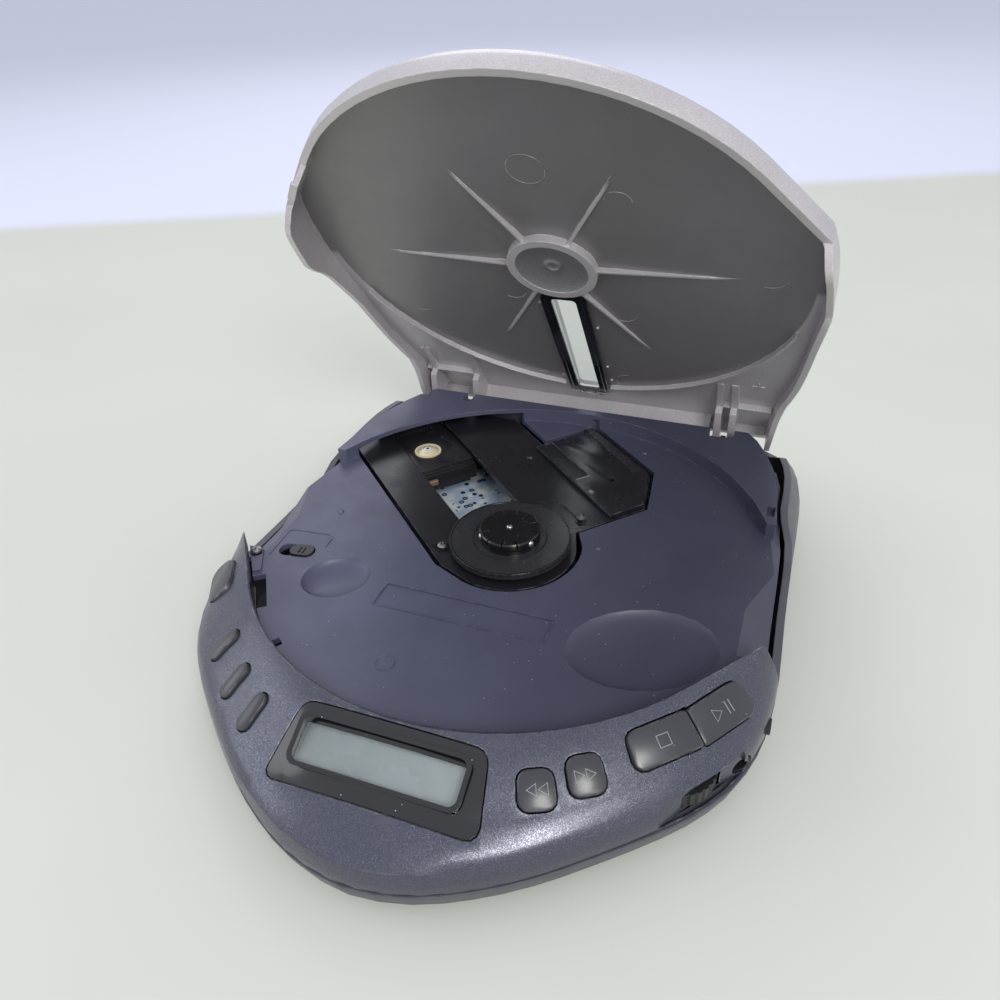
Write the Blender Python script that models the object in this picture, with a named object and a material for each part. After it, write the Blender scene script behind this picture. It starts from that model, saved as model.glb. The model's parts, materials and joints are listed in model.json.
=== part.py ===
"""Portable disc player with a hinged lid, modelled as its separate pieces, lid standing open.

Metres, +Z up. The origin is on the underside, below the disc spindle. +Y points to the lid's hinge
and -Y to the display. Angles round the spindle are in degrees from +X.
"""

import math

import bmesh
import bpy
import numpy as np
from mathutils import Matrix, Vector

# Driving sizes of the body
half_width = 0.0660
nose_reach = 0.0868
rear_reach = 0.0735
floor_top = 0.0185
panel_top = 0.0235
well_radius = 0.0617
shelf_top = 0.0225
lid_inner_top = 0.0248
lid_crown = 0.0286

# Clearances
gap = 0.0003
running = 0.00008
slide_gap = 0.0004
overrun = 0.002
weld = 0.000001

# Outline of the body as (share of half_width, share of nose_reach or rear_reach)
outline_shares = (
    (0, -1), (0.180, -0.976), (0.336, -0.922), (0.476, -0.854), (0.602, -0.776),
    (0.717, -0.699), (0.829, -0.614), (0.921, -0.516), (0.977, -0.403), (1, -0.288),
    (1, -0.161), (0.994, 0), (0.992, 0.272), (0.992, 0.571), (0.974, 0.735),
    (0.917, 0.864), (0.803, 0.959), (0.636, 0.996), (0.333, 1), (0, 1),
)
# Outline of the lid behind its round front, the same way
lid_shares = (
    (0.926, -0.241), (0.941, -0.194), (0.954, -0.138), (0.964, -0.052), (0.966, 0.010), (0.963, 0.120),
    (0.951, 0.245), (0.935, 0.400), (0.915, 0.550), (0.894, 0.646), (0.873, 0.721), (0.854, 0.790),
    (0.840, 0.860), (0.830, 0.940), (0.823, 1.010), (0.800, 1.031),
)

# Bottom case
case_wall = 0.0018
case_floor = 0.0016
case_front_top = 0.0070
case_waist_top = 0.0130
case_fender_top = 0.0198
case_rear_top = 0.0138
case_tip = -0.0209
case_rear_half = 0.0520
fender_lean = 0.0032
# (share of the height from waist to fender, share of fender_lean)
lean_shares = ((0, 0), (0.5, 0.25), (1, 1))
# (share of the underside's inset, share of the front wall's height)
case_foot_inset = 0.0062
case_foot_shares = ((1, 0), (0.55, 0.10), (0.20, 0.42), (0.03, 0.91))
# Rise of the rear side walls as (share of rear_reach, share from waist to fender height)
fender_shares = ((0.19, 0), (0.26, 0.10), (0.33, 0.55), (0.40, 0.90), (0.45, 1), (0.79, 1), (0.90, 0.25))

# Front panel
panel_edge_gap = 0.0003
panel_wall = 0.0022
panel_rim_wall = 0.0046
panel_tip = -0.0212
flare_angle = 38
well_wall = 0.0015
well_wall_bottom = 0.0190
panel_angles = (-164, -16)
panel_stations = 42
cavity_angles = (-156, -24)
cavity_stations = 26
# (height share between front wall top and panel_top, inset share at the nose, inset share at the side)
panel_profile_shares = (
    (0.00, 0.012, 0.05), (0.152, 0, 0), (0.34, 0.03, 0.02), (0.47, 0.13, 0.08), (0.57, 0.33, 0.20),
    (0.71, 0.50, 0.42), (0.845, 0.68, 0.68), (0.957, 0.86, 0.88), (1.0, 0.97, 0.97), (0.98, 1, 1),
)

# Disc well
floor_thick = 0.0015
well_gap = 0.0003
shelf_radius = 0.0620
shelf_half = 0.0603
shelf_front = 0.0220
shelf_rear = 0.0645
shelf_hollow_angles = (76, 26)
under_angles = (24, 156)
# Outer side of the shelf as (share of shelf_half, share of shelf_rear)
shelf_side_shares = (
    (1, 0.341), (0.990, 0.45), (0.977, 0.566), (0.949, 0.722), (0.937, 0.753), (0.902, 0.845), (0.852, 0.94),
    (0.803, 1),
)
# Floor that runs on beside the shelf, the same way
ledge_side_shares = ((1.033, 0.295), (1.018, 0.403), (1.010, 0.512), (0.988, 0.698), (0.960, 0.806))
# Fold of the floor's side strip as (share of rear_reach, share of side_fold)
fold_shares = ((-1.2, 1), (-0.08, 1), (0.109, 1.083), (0.30, 1.044), (1, 1.044))
shelf_hole = dict(x=0.0584, y=0.0272, long=0.0020, wide=0.0042, depth=0.0013)
overlap = 0.0002
shelf_plate = 0.0016
shelf_wall = 0.0014
trough_top = 0.0120
trough_rear = 0.0703
trough_half = 0.0455
side_fold = 0.0570
side_low = 0.0134
side_reach = 0.0633
side_front = -0.0206
side_rear = 0.0190
pit_depth = 0.0024
pit_wall = 0.0012
left_pit = dict(x=-0.0350, y=-0.0243, long=0.0084, wide=0.0073, turn=38)
right_pit = dict(x=0.0383, y=-0.0248, long=0.0165, wide=0.0120, turn=24)
bump_radius = 0.0013
bump_rise = 0.0005
bump_places = ((0.0219, 0.0517), (0.0207, 0.0052), (-0.0472, -0.0005))
deck_bump = (0.0346, -0.0239)
well_ring = dict(x=-0.0112, y=-0.0458, radius=0.0022, wall=0.0004, rise=0.0003)
label_bed = dict(x=-0.0020, y=-0.0263, long=0.0410, wide=0.0078, depth=0.0002)

# Hold switch in the well
hold = dict(x=-0.0494, y=-0.0183, long=0.0092, wide=0.0046, knob=0.0060, turn=8)
hold_knob_rise = 0.0004
hold_base_rim = 0.0009
hold_base_thick = 0.0012

# Catch
catch_angle = -145.3
catch_slot_half = 0.0060
catch_slot_inner = 0.0588
catch_slot_outer = 0.0625
hook_inner = 0.0596
hook_outer = 0.0608
hook_nose = 0.0613
hook_half = 0.0030
hook_shift = -0.0022
hook_bottom = 0.0150
hook_nose_top = 0.0158
latch_inner = 0.0615
latch_outer = 0.0635
latch_left = -0.0042
latch_right = 0.0050
latch_bottom = 0.0156
latch_top = 0.0167
key_hole_radius = 0.0602
key_hole_angle = -127.2
key_hole_size = 0.0024

# Lid
lid_front_gap = 0.0004
lid_wall = 0.0014
lid_draft = 0.006
lid_bottom = 0.0157
lid_skirt_front = 0.0205
lid_shoulder = 0.0240
lid_edge_top = 0.0270
lid_middle = 0.0072
lid_open_angle = 53.8
# (shrink share, height share from the shoulder to the edge top), then the dome to lid_crown
lid_round_shares = ((0, 0), (0.008, 0.50), (0.026, 0.85), (0.058, 1))
lid_dome_shares = ((0.27, 0.56), (0.55, 0.88), (0.85, 1))
lid_side_edge = 0.0219
# Lower edge of the side skirt as (share of rear_reach, share from lid_bottom up to lid_side_edge)
lid_skirt_shares = (
    (-0.284, 0.774), (-0.262, 0.45), (-0.238, 0.16), (-0.208, 0.02), (-0.04, 0), (0.015, 0.22), (0.055, 0.47),
    (0.110, 0.68), (0.190, 0.82), (0.320, 1), (0.735, 1), (0.785, 0.78), (0.830, 0.50), (0.870, 0.22),
    (0.905, 0.06), (0.960, 0), (0.985, 1), (1.2, 1),
)
rear_rib_y = 0.0706
rear_rib_thick = 0.0014
rear_rib_half = 0.0366
rear_rib_bottom = 0.0195
ring_radius = 0.0111
ring_wall = 0.0021
ring_drop = 0.0020
rib_thick = 0.0007
rib_drop = 0.0014
rib_places = ((0, 0.0486), (180, 0.0486), (-60, 0.0405), (-120, 0.0405), (60, 0.0463), (120, 0.0463))
arc_rib_radius = 0.0606
arc_rib_drop = 0.0014
arc_rib_angles = ((18.6, 83.4), (96.6, 161.4))
window_front = 0.0138
window_rear = 0.0625
window_half = 0.0036
window_corner = 0.0012
window_frame_wide = 0.0024
window_frame_thick = 0.0005
window_plate = 0.0012
hinge_y = 0.0689
hinge_z = 0.0161
pin_radius = 0.0012
pin_over = 0.0003
ear_round = 0.0021
ear_thick = 0.0019
ear_web_y = 0.0605
ear_web_wall = 0.0008
ear_rib_front = 0.0500
ear_rib_drop = 0.0018
# The two pairs of ears, from left to right
hinge_pairs = ((-0.0508, -0.0363), (0.0393, 0.0434))
ear_pair_near = 0.0060
lug_gap = 0.0004
lug_round = 0.0016

# Deck, in its own frame: U out along the pickup's path, V across it
sled_angle = 137.0
deck_top = 0.0177
deck_plate = 0.0014
deck_wall = 0.0012
deck_bottom = 0.0070
deck_gap = 0.0014
lobe_radius = 0.0176
deck_left = 0.0192
deck_right = -0.0492
deck_near_left = 0.0020
lobe_angles = (104, 238)
deck_near_right = -0.0042
deck_turn_in = -0.0170
deck_chamfer_v = -0.0375
deck_chamfer_u = 0.0095
deck_step_u = 0.0395
deck_step_v = -0.0318
deck_far = 0.0704
deck_far_right = (0.0570, -0.0184)
deck_far_left = (0.0126, 0.0662)
window_left = 0.0063
window_right = -0.0106
window_near = 0.0124
window_far = 0.0676
motor_hole_gap = 0.0003
cover_thick = 0.0010
cover_inset = 0.0006
cover_left = -0.0274
cover_pane = dict(low=(0.0164, -0.0325), high=(0.0369, -0.0282), depth=0.0003)
cover_slots = ((0.0375, -0.0357), (0.0117, -0.0366))
cover_slot_size = 0.0020

# Turntable and its motor
platter_radius = 0.01485
platter_top = 0.0210
platter_thick = 0.0014
platter_ring = 0.0092
platter_groove = 0.0003
groove_wide = 0.0004
hub_radius = 0.00745
hub_top = 0.0238
hub_edge = 0.00035
boss_low = 0.0172
boss_wide = 0.0046
shaft_radius = 0.00075
shaft_top = 0.0240
shaft_bottom = 0.0064
ball_radius = 0.0010
ball_rise = 0.0004
ball_height = 0.0225
ball_socket = 0.0046
ball_travel = 0.0005
ball_angles = (94, 214, 334)
motor_radius = 0.0096
motor_edge = 0.0008
motor_top = 0.0166
motor_bottom = 0.0060

# Pickup
lens_reach = 0.0536
sled_near = 0.0113
sled_plate_near = 0.0100
sled_step_long = 0.0046
sled_step_top = 0.0114
sled_far = 0.0106
sled_left = 0.0125
sled_plate_left = 0.0060
sled_right = -0.0102
sled_top = 0.0172
sled_block_top = 0.0159
sled_block_bottom = 0.0076
sled_plate_bottom = 0.0150
drive_height = 0.0110
rod_radius = 0.0010
rod_side = 0.0095
rod_near = 0.0089
rod_far = 0.0689
rod_block = dict(near=0.0086, far=0.0110, half=0.0018, low=0.0092)
screw_radius = 0.0011
screw_side = -0.0154
screw_near = 0.0138
nut_near = -0.0020
nut_far = 0.0098
nut_half = 0.0024
nut_high = 0.0022
pocket_radius = 0.0042
pocket_bottom = 0.0119
holder_radius = 0.0039
holder_bottom = 0.0126
holder_top = 0.0173
holder_bore = 0.0019
lens_radius = 0.0030
lens_seat = 0.0163
lens_bottom = 0.0166
lens_rim = 0.0005
# Dome of the lens as (share of lens_radius, share of lens_rise)
lens_rise = 0.0009
lens_dome_shares = ((1, 0), (0.80, 0.52), (0.45, 0.88), (0, 1))
gear_module = 0.0004
gear_teeth = 22
pinion_teeth = 16
# Tooth flanks as (share of the pitch angle, height in modules)
tooth_shares = ((-0.32, -1.25), (-0.14, 0.9), (0.14, 0.9), (0.32, -1.25))
gear_near = 0.0150
gear_thick = 0.0022
sled_motor_radius = 0.0044
sled_motor_near = 0.0196
sled_motor_far = 0.0366
motor_shaft_radius = 0.0005
motor_shaft_near = 0.0144
motor_shaft_far = 0.0360
bracket = dict(near=0.0177, far=0.0193, left=-0.0124, right=-0.0272, low=0.0072)

# Dampers and deck screws, places in the deck's frame
damper_places = ((0.0580, -0.0240), (0.0060, -0.0400), (0.0200, 0.0153))
damper_radius = 0.0024
damper_hole = 0.0011
damper_boss_top = 0.0050
deck_screw_places = ((0.0082, 0.0146), (0.0015, -0.0211))
deck_screw_head = 0.0013
deck_screw_rise = 0.0004
deck_screw_shank = 0.0006
deck_screw_long = 0.0045
screw_pocket = 0.0022
latch_screw_place = (-0.0582, -0.0226)
latch_screw_seat = 0.0192
# Pad under the latch screw as (share of half_width, share of nose_reach)
latch_pad_shares = ((-0.930, -0.241), (-0.832, -0.337), (-0.806, -0.325), (-0.867, -0.241))

# Boards
board_bottom = 0.0036
board_thick = 0.0012
board_inset = 0.0115
board_front = -0.0225
board_hole_gap = 0.0004
key_board_z = 0.0129
key_board_thick = 0.0008
key_board_inner = 0.0650
key_board_outer = 0.0712
key_board_rim = 0.0052
key_board_display = 0.0685
key_board_display_half = 18
key_board_angles = (-139, -27)

# Display
display_angle = -90
display_radius = 0.0702
lens_long = 0.0432
lens_narrow_share = 0.88
lens_high = 0.0152
lens_corner = 0.0025
lens_thick = 0.0012
lens_ledge = 0.0015
view_long = 0.0352
view_high = 0.0092
view_shift = 0.0008
module_top = 0.0017
module_thick = 0.0020

# Keys on the panel: angle, radius, width round the panel, length down the slope, corner
key_proud = 0.0009
key_deep = 0.0028
key_gap = 0.00028
key_travel = 0.0005
open_travel = 0.0012
open_stem = 0.0012
key_pocket = 0.0060
key_edge = 0.00045
stem_radius = 0.0010
stem_gap = 0.0002
small_key_radius = 0.0710
small_key_wide = 0.0033
small_key_long = 0.0084
skip_wide = 0.0068
skip_long = 0.0072
bar_long = 0.0074
bar_radius = 0.0679
small_key = dict(wide=small_key_wide, long=small_key_long, corner=0.0016)
skip_key = dict(wide=skip_wide, long=skip_long, corner=0.0020)
# meets: the side on which a key stands against the next one, with small corners
keys = {
    "buffer_key": dict(small_key, angle=-131.5, radius=0.0697),
    "play_mode_key": dict(small_key, angle=-122.6, radius=small_key_radius),
    "repeat_key": dict(small_key, angle=-114.6, radius=0.0722),
    "skip_back_key": dict(skip_key, angle=-66.3, radius=0.0711),
    "skip_forward_key": dict(skip_key, angle=-58.9, radius=0.0696),
    "stop_key": dict(angle=-45.9, radius=bar_radius, wide=0.0132, long=bar_long, corner=0.0020, meets=1),
    "play_key": dict(angle=-33.6, radius=bar_radius, wide=0.0138, long=bar_long, corner=0.0026, meets=-1),
    "open_button": dict(angle=-150.3, radius=0.0690, wide=0.0118, long=0.0078, corner=0.0030),
}
key_points_round = 4
meeting_corner = 0.0006

# Controls on the side
wheel_x = 0.0501
wheel_y = -0.0458
wheel_radius = 0.0076
wheel_bottom = 0.0092
wheel_thick = 0.0030
wheel_bore = 0.0015
wheel_grooves = 30
wheel_groove = 0.0003
wheel_facing = -36.0
wheel_pocket_gap = 0.0004
scoop_deep = 0.0022
scoop_long = 0.0215
scoop_bottom = 0.0076
scoop_top = 0.0144
scoop_round = 0.0016
volume_control_radius = 0.0050
volume_control_bottom = 0.0059
volume_control_top = 0.0085
volume_post_top = 0.0125
jack_x = 0.0612
jack_y = -0.0412
jack_facing = -53.0
jack_height = 0.0100
jack_outer = 0.0026
jack_bore = 0.00185
jack_long = 0.0120
slot_switch = dict(x=0.0655, y=-0.0285, z=0.0108, long=0.0075, high=0.0022, knob=0.0030)
slot_switch_deep = 0.0028
slot_switch_rise = 0.0004

# Rear sockets
dc_place = -0.0300
line_place = 0.0180
socket_height = 0.0070
socket_outer = 0.0030
dc_bore = 0.0021
dc_pin = 0.0005
socket_long = 0.0110
socket_back = 0.0015

# Battery bay
bay_half = 0.0278
bay_front = -0.0560
bay_rear = -0.0258
bay_wall = 0.0012
bay_top = 0.0159
door_thick = 0.0013
door_barrel = 0.0012
door_axis_in = 0.0014
door_pin = 0.0005
door_side_gap = 0.0004
door_grip = dict(long=0.0120, wide=0.0040, depth=0.0005)
contact_thick = 0.0004
contact_half = 0.0062
contact_bottom = 0.0030
contact_top = 0.0146
front_cell = -0.0484
rear_cell = -0.0334
coil_wire = 0.00028
coil_base = 0.0036
coil_tip = 0.0026
coil_turns = 3
coil_long = 0.0040
coil_steps = 9
button_radius = 0.0030
button_rise = 0.0008

# Feet and bosses
foot_radius = 0.0040
foot_drop = 0.0005
foot_recess = 0.0007
foot_places = ((-0.0460, 0.0520), (0.0460, 0.0520), (-0.0420, -0.0420), (0.0420, -0.0420))
boss_radius = 0.0026
boss_bore = 0.0010
boss_top = 0.0130
front_boss_top = 0.0100
# Bosses as (share of half_width, share of nose_reach or rear_reach)
rear_boss_shares = ((-0.886, 0.054), (0.886, 0.054), (0.886, 0.626), (-0.886, 0.626))
front_boss_shares = ((-0.515, -0.714), (0.515, -0.714))


# Scene and materials

for old in list(bpy.data.objects):
    bpy.data.objects.remove(old, do_unlink=True)

parts = bpy.data.collections.new("portable_cd_player")
cutters = bpy.data.collections.new("cutters")
cutters.hide_render = True
bpy.context.scene.collection.children.link(parts)
bpy.context.scene.collection.children.link(cutters)


def finish(name, color, roughness, metallic=0.0, alpha=1.0):
    made = bpy.data.materials.new(name)
    made.use_nodes = True
    shader = made.node_tree.nodes["Principled BSDF"]
    shader.inputs["Base Color"].default_value = (*color, 1)
    shader.inputs["Roughness"].default_value = roughness
    shader.inputs["Metallic"].default_value = metallic
    shader.inputs["Alpha"].default_value = alpha
    return made


finishes = {
    "panel": finish("painted_panel", (0.10, 0.11, 0.15), 0.38, 0.5),
    "case": finish("grey_case", (0.16, 0.16, 0.17), 0.5),
    "well": finish("slate_plastic", (0.055, 0.065, 0.095), 0.55),
    "lid": finish("silver_lid", (0.36, 0.34, 0.32), 0.36, 0.6),
    "black": finish("black_plastic", (0.012, 0.012, 0.014), 0.4),
    "key": finish("key_plastic", (0.05, 0.05, 0.055), 0.35),
    "gloss": finish("black_gloss", (0.01, 0.01, 0.012), 0.08),
    "clear": finish("clear_plastic", (0.75, 0.80, 0.80), 0.05, 0.0, 0.35),
    "steel": finish("steel", (0.6, 0.6, 0.62), 0.25, 1.0),
    "brass": finish("brass", (0.70, 0.52, 0.25), 0.3, 1.0),
    "glass": finish("lens_glass", (0.55, 0.62, 0.70), 0.03, 0.0, 0.5),
    "board": finish("circuit_board", (0.35, 0.45, 0.55), 0.5),
    "rubber": finish("rubber", (0.02, 0.02, 0.02), 0.8),
    "flex": finish("orange_flex", (0.55, 0.28, 0.08), 0.4),
    "display": finish("display_glass", (0.33, 0.38, 0.34), 0.25),
    "nylon": finish("white_nylon", (0.75, 0.74, 0.70), 0.5),
}


# Mesh helpers

def add(name, mesh, look="black", frame=None, smooth=35):
    """A piece in its own frame, with its origin where the frame has it."""
    obj = bpy.data.objects.new(name, mesh)
    parts.objects.link(obj)
    obj.matrix_basis = frame or Matrix()
    mesh.materials.append(finishes[look])
    mesh.shade_smooth()
    mesh.set_sharp_from_angle(angle=math.radians(smooth))
    return obj


def helper(mesh, frame=None):
    obj = bpy.data.objects.new("cutter", mesh)
    cutters.objects.link(obj)
    obj.matrix_basis = frame or Matrix()
    obj.hide_render = True
    obj.display_type = "WIRE"
    return obj


def boolean(target, tool, operation):
    """A Boolean with a mesh in the target's own frame."""
    modifier = target.modifiers.new(operation.lower(), "BOOLEAN")
    modifier.operation = operation
    modifier.solver = "EXACT"
    modifier.object = tool if isinstance(tool, bpy.types.Object) else helper(tool, target.matrix_basis)


def cut(target, *tools):
    for tool in tools:
        boolean(target, tool, "DIFFERENCE")


def fuse(target, *tools):
    for tool in tools:
        boolean(target, tool, "UNION")


def keep(target, tool):
    boolean(target, tool, "INTERSECT")


def mesh_from(build):
    made = bmesh.new()
    build(made)
    bmesh.ops.recalc_face_normals(made, faces=made.faces)
    mesh = bpy.data.meshes.new("mesh")
    made.to_mesh(mesh)
    made.free()
    return mesh


def moved(mesh, matrix):
    mesh.transform(matrix)
    return mesh


def box(low, high):
    """A box between two corners."""
    low, high = Vector(low), Vector(high)

    def build(made):
        size = Matrix.Diagonal((*(high - low), 1))
        bmesh.ops.create_cube(made, size=1, matrix=Matrix.Translation((low + high) / 2) @ size)

    return mesh_from(build)


def drum(radius, low, high, x=0.0, y=0.0, sides=32, top_radius=None):
    """An upright cylinder or cone between two heights."""
    upper = radius if top_radius is None else top_radius

    def build(made):
        place = Matrix.Translation((x, y, (low + high) / 2))
        bmesh.ops.create_cone(
            made, cap_ends=True, segments=sides, radius1=radius, radius2=upper, depth=high - low, matrix=place
        )

    return mesh_from(build)


def loft(rings, closed=False):
    """Closed rings of points joined in order, with flat ends unless the last ring meets the first."""

    def build(made):
        lines = [[made.verts.new(point) for point in ring] for ring in rings]
        pairs = list(zip(lines, lines[1:])) + ([(lines[-1], lines[0])] if closed else [])
        for lower, upper in pairs:
            for index, vert in enumerate(lower):
                after = (index + 1) % len(lower)
                made.faces.new((vert, lower[after], upper[after], upper[index]))
        if not closed:
            made.faces.new(lines[0])
            made.faces.new(lines[-1])

    return mesh_from(build)


def plate(outline, low, high, holes=()):
    """A flat outline of (x, y) points, made as a filled 2D curve from one height to another."""
    curve = bpy.data.curves.new("outline", "CURVE")
    curve.dimensions = "2D"
    curve.fill_mode = "BOTH"
    curve.extrude = (high - low) / 2
    for line in (outline, *holes):
        spline = curve.splines.new("POLY")
        spline.points.add(len(line) - 1)
        for point, place in zip(spline.points, line):
            point.co = (place[0], place[1], 0, 1)
        spline.use_cyclic_u = True
    carrier = bpy.data.objects.new("outline", curve)
    bpy.context.scene.collection.objects.link(carrier)
    graph = bpy.context.evaluated_depsgraph_get()
    mesh = bpy.data.meshes.new_from_object(carrier.evaluated_get(graph))
    bpy.data.objects.remove(carrier, do_unlink=True)
    bpy.data.curves.remove(curve)
    made = bmesh.new()
    made.from_mesh(mesh)
    bmesh.ops.remove_doubles(made, verts=made.verts, dist=weld)
    bmesh.ops.recalc_face_normals(made, faces=made.faces)
    made.to_mesh(mesh)
    made.free()
    return moved(mesh, Matrix.Translation((0, 0, (low + high) / 2)))


def turned(profile, sides=32):
    """A profile of (radius, height) turned round the Z axis. It is closed, or ends on the axis."""

    def build(made):
        verts = [made.verts.new((radius, 0, height)) for radius, height in profile]
        edges = [made.edges.new(pair) for pair in zip(verts, verts[1:])]
        if profile[0][0] > 0:
            edges.append(made.edges.new((verts[-1], verts[0])))
        bmesh.ops.spin(
            made, geom=verts + edges, cent=(0, 0, 0), axis=(0, 0, 1), angle=2 * math.pi, steps=sides, use_merge=True
        )
        bmesh.ops.remove_doubles(made, verts=made.verts, dist=weld)

    return mesh_from(build)


def front_plate(outline, low, high):
    """A flat outline of (x, z) points, from one y to another."""
    turn = Matrix(((1, 0, 0, 0), (0, 0, -1, 0), (0, 1, 0, 0), (0, 0, 0, 1)))
    return moved(plate(outline, -high, -low), turn)


def side_plate(outline, low, high):
    """A flat outline of (y, z) points, from one x to another."""
    turn = Matrix(((0, 0, 1, 0), (1, 0, 0, 0), (0, 1, 0, 0), (0, 0, 0, 1)))
    return moved(plate(outline, low, high), turn)


def wire(points, radius):
    """A six-sided wire through points."""
    curve = bpy.data.curves.new("wire", "CURVE")
    curve.dimensions = "3D"
    curve.bevel_depth = radius
    curve.bevel_resolution = 1
    curve.use_fill_caps = True
    spline = curve.splines.new("POLY")
    spline.points.add(len(points) - 1)
    for point, place in zip(spline.points, points):
        point.co = (*place, 1)
    carrier = bpy.data.objects.new("wire", curve)
    bpy.context.scene.collection.objects.link(carrier)
    graph = bpy.context.evaluated_depsgraph_get()
    mesh = bpy.data.meshes.new_from_object(carrier.evaluated_get(graph))
    bpy.data.objects.remove(carrier, do_unlink=True)
    bpy.data.curves.remove(curve)
    made = bmesh.new()
    made.from_mesh(mesh)
    bmesh.ops.remove_doubles(made, verts=made.verts, dist=weld)
    bmesh.ops.recalc_face_normals(made, faces=made.faces)
    made.to_mesh(mesh)
    made.free()
    return mesh


def along(direction_deg, x, y, z):
    """The frame of a rod that lies flat: local Z points along the direction."""
    turn = Matrix.Rotation(math.radians(direction_deg), 4, "Z") @ Matrix.Rotation(math.pi / 2, 4, "Y")
    return Matrix.Translation((x, y, z)) @ turn


# Outlines

def at(radius, degrees):
    angle = math.radians(degrees)
    return (radius * math.cos(angle), radius * math.sin(angle))


def arc(radius, start, end, steps, x=0.0, y=0.0):
    turned = np.linspace(start, end, steps)
    return [(x + at(radius, degrees)[0], y + at(radius, degrees)[1]) for degrees in turned]


def eased(points, between, closed=True):
    """A smooth line through points."""
    line = np.array(points, float)
    last = len(line) - 1
    made = []
    for index in range(len(line) if closed else last):
        if closed:
            a, b, c, d = (line[(index + step) % len(line)] for step in (-1, 0, 1, 2))
        else:
            a, b, c, d = (line[min(max(index + step, 0), last)] for step in (-1, 0, 1, 2))
        for k in range(between):
            t = k / between
            cubic = -a + 3 * b - 3 * c + d
            made.append((2 * b + (c - a) * t + (2 * a - 5 * b + 4 * c - d) * t**2 + cubic * t**3) / 2)
    return np.array(made)


def inset(line, distance):
    """The line moved inwards; its points run anticlockwise."""
    line = np.array(line, float)
    before = line - np.roll(line, 1, axis=0)
    after = np.roll(line, -1, axis=0) - line
    way = before / np.linalg.norm(before, axis=1)[:, None] + after / np.linalg.norm(after, axis=1)[:, None]
    way /= np.linalg.norm(way, axis=1)[:, None]
    return line + np.stack([-way[:, 1], way[:, 0]], axis=1) * distance


def mirrored(right_half):
    left_half = [(-x, y) for x, y in reversed(right_half) if abs(x) > running]
    return list(right_half) + left_half


def placed(shares):
    return [(a * half_width, b * (nose_reach if b < 0 else rear_reach)) for a, b in shares]


body_line = eased(mirrored(placed(outline_shares)), 2)


def level(line, height):
    return [(x, y, height) for x, y in line]


body_angles = np.unwrap(np.arctan2(body_line[:, 1], body_line[:, 0]))
body_radii = np.hypot(body_line[:, 0], body_line[:, 1])


def body_radius(degrees):
    around = np.mod(math.radians(degrees) - body_angles[0], 2 * math.pi) + body_angles[0]
    return float(np.interp(around, body_angles, body_radii, period=2 * math.pi))


def rounded_box(long, wide, corner, x=0.0, y=0.0, turn=0.0, points=key_points_round, meets=0):
    """A rectangle with round corners, as (x, y) points. The corners on the side it meets are small."""
    made = []
    for sx, sy, start in ((1, 1, 0), (-1, 1, 90), (-1, -1, 180), (1, -1, 270)):
        own = meeting_corner if sx == meets else corner
        cx, cy = sx * (long / 2 - own), sy * (wide / 2 - own)
        made += arc(own, start, start + 90, points, cx, cy)
    c, s = at(1, turn)
    return [(x + a * c - b * s, y + a * s + b * c) for a, b in made]


# Front panel surface

panel_low = case_front_top + panel_edge_gap


def wall_radius(degrees):
    """Inner wall of the panel: round at the front, and straight on from flare_angle to the tips."""
    aside = abs(abs(degrees + 90) - 90)
    return well_radius / math.cos(math.radians(max(flare_angle - aside, 0)))


def flared(back, tip, steps):
    """The wall's line moved in, from the front to where the straight right side reaches y = tip."""
    radius = well_radius - back
    side, down = at(radius, -flare_angle)
    share = (tip - down) / (radius * math.cos(math.radians(flare_angle)))
    reach = radius * math.sin(math.radians(flare_angle))
    return arc(radius, -90, -flare_angle, steps) + [(side + share * reach, tip)]


def panel_section(degrees):
    """Outer side of the panel at an angle round the spindle, as (radius, height) from its lower edge up."""
    edge = body_radius(degrees)
    sideways = min(abs(at(edge, degrees)[0]) / half_width, 1) ** 2
    made = []
    for height, nose, side in panel_profile_shares:
        share = nose * (1 - sideways) + side * sideways
        made.append((edge - share * (edge - wall_radius(degrees)), panel_low + height * (panel_top - panel_low)))
    return made


def panel_height(radius, degrees):
    section = panel_section(degrees)[1:]
    radii = [point[0] for point in reversed(section)]
    heights = [point[1] for point in reversed(section)]
    return float(np.interp(radius, radii, heights))


def panel_frame(degrees, radius):
    """A frame on the panel's surface: local X round the panel, Y up the slope and Z straight out."""
    reach = lens_corner
    x, y = at(radius, degrees)
    middle = (panel_height(radius - reach, degrees) + panel_height(radius + reach, degrees)) / 2
    rise = panel_height(radius - reach, degrees) - panel_height(radius + reach, degrees)
    slope = math.atan2(rise, 2 * reach)
    turn = Matrix.Rotation(math.radians(degrees + 90), 4, "Z") @ Matrix.Rotation(slope, 4, "X")
    return Matrix.Translation((x, y, middle)) @ turn


def bent(outline, radius):
    """A key outline bent round the panel: X becomes the way round, Y the way in."""
    return [((radius - y) * math.sin(x / radius), radius - (radius - y) * math.cos(x / radius)) for x, y in outline]


def sections_between(angles, count, section):
    rings = []
    for degrees in np.linspace(*angles, count):
        rings.append([(*at(radius, degrees), height) for radius, height in section(degrees)])
    return rings


# Pieces of the base

def deck_place(u, v):
    c, s = at(1, sled_angle)
    return (u * c - v * s, u * s + v * c)


deck_turn = Matrix.Rotation(math.radians(sled_angle), 4, "Z")


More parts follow.
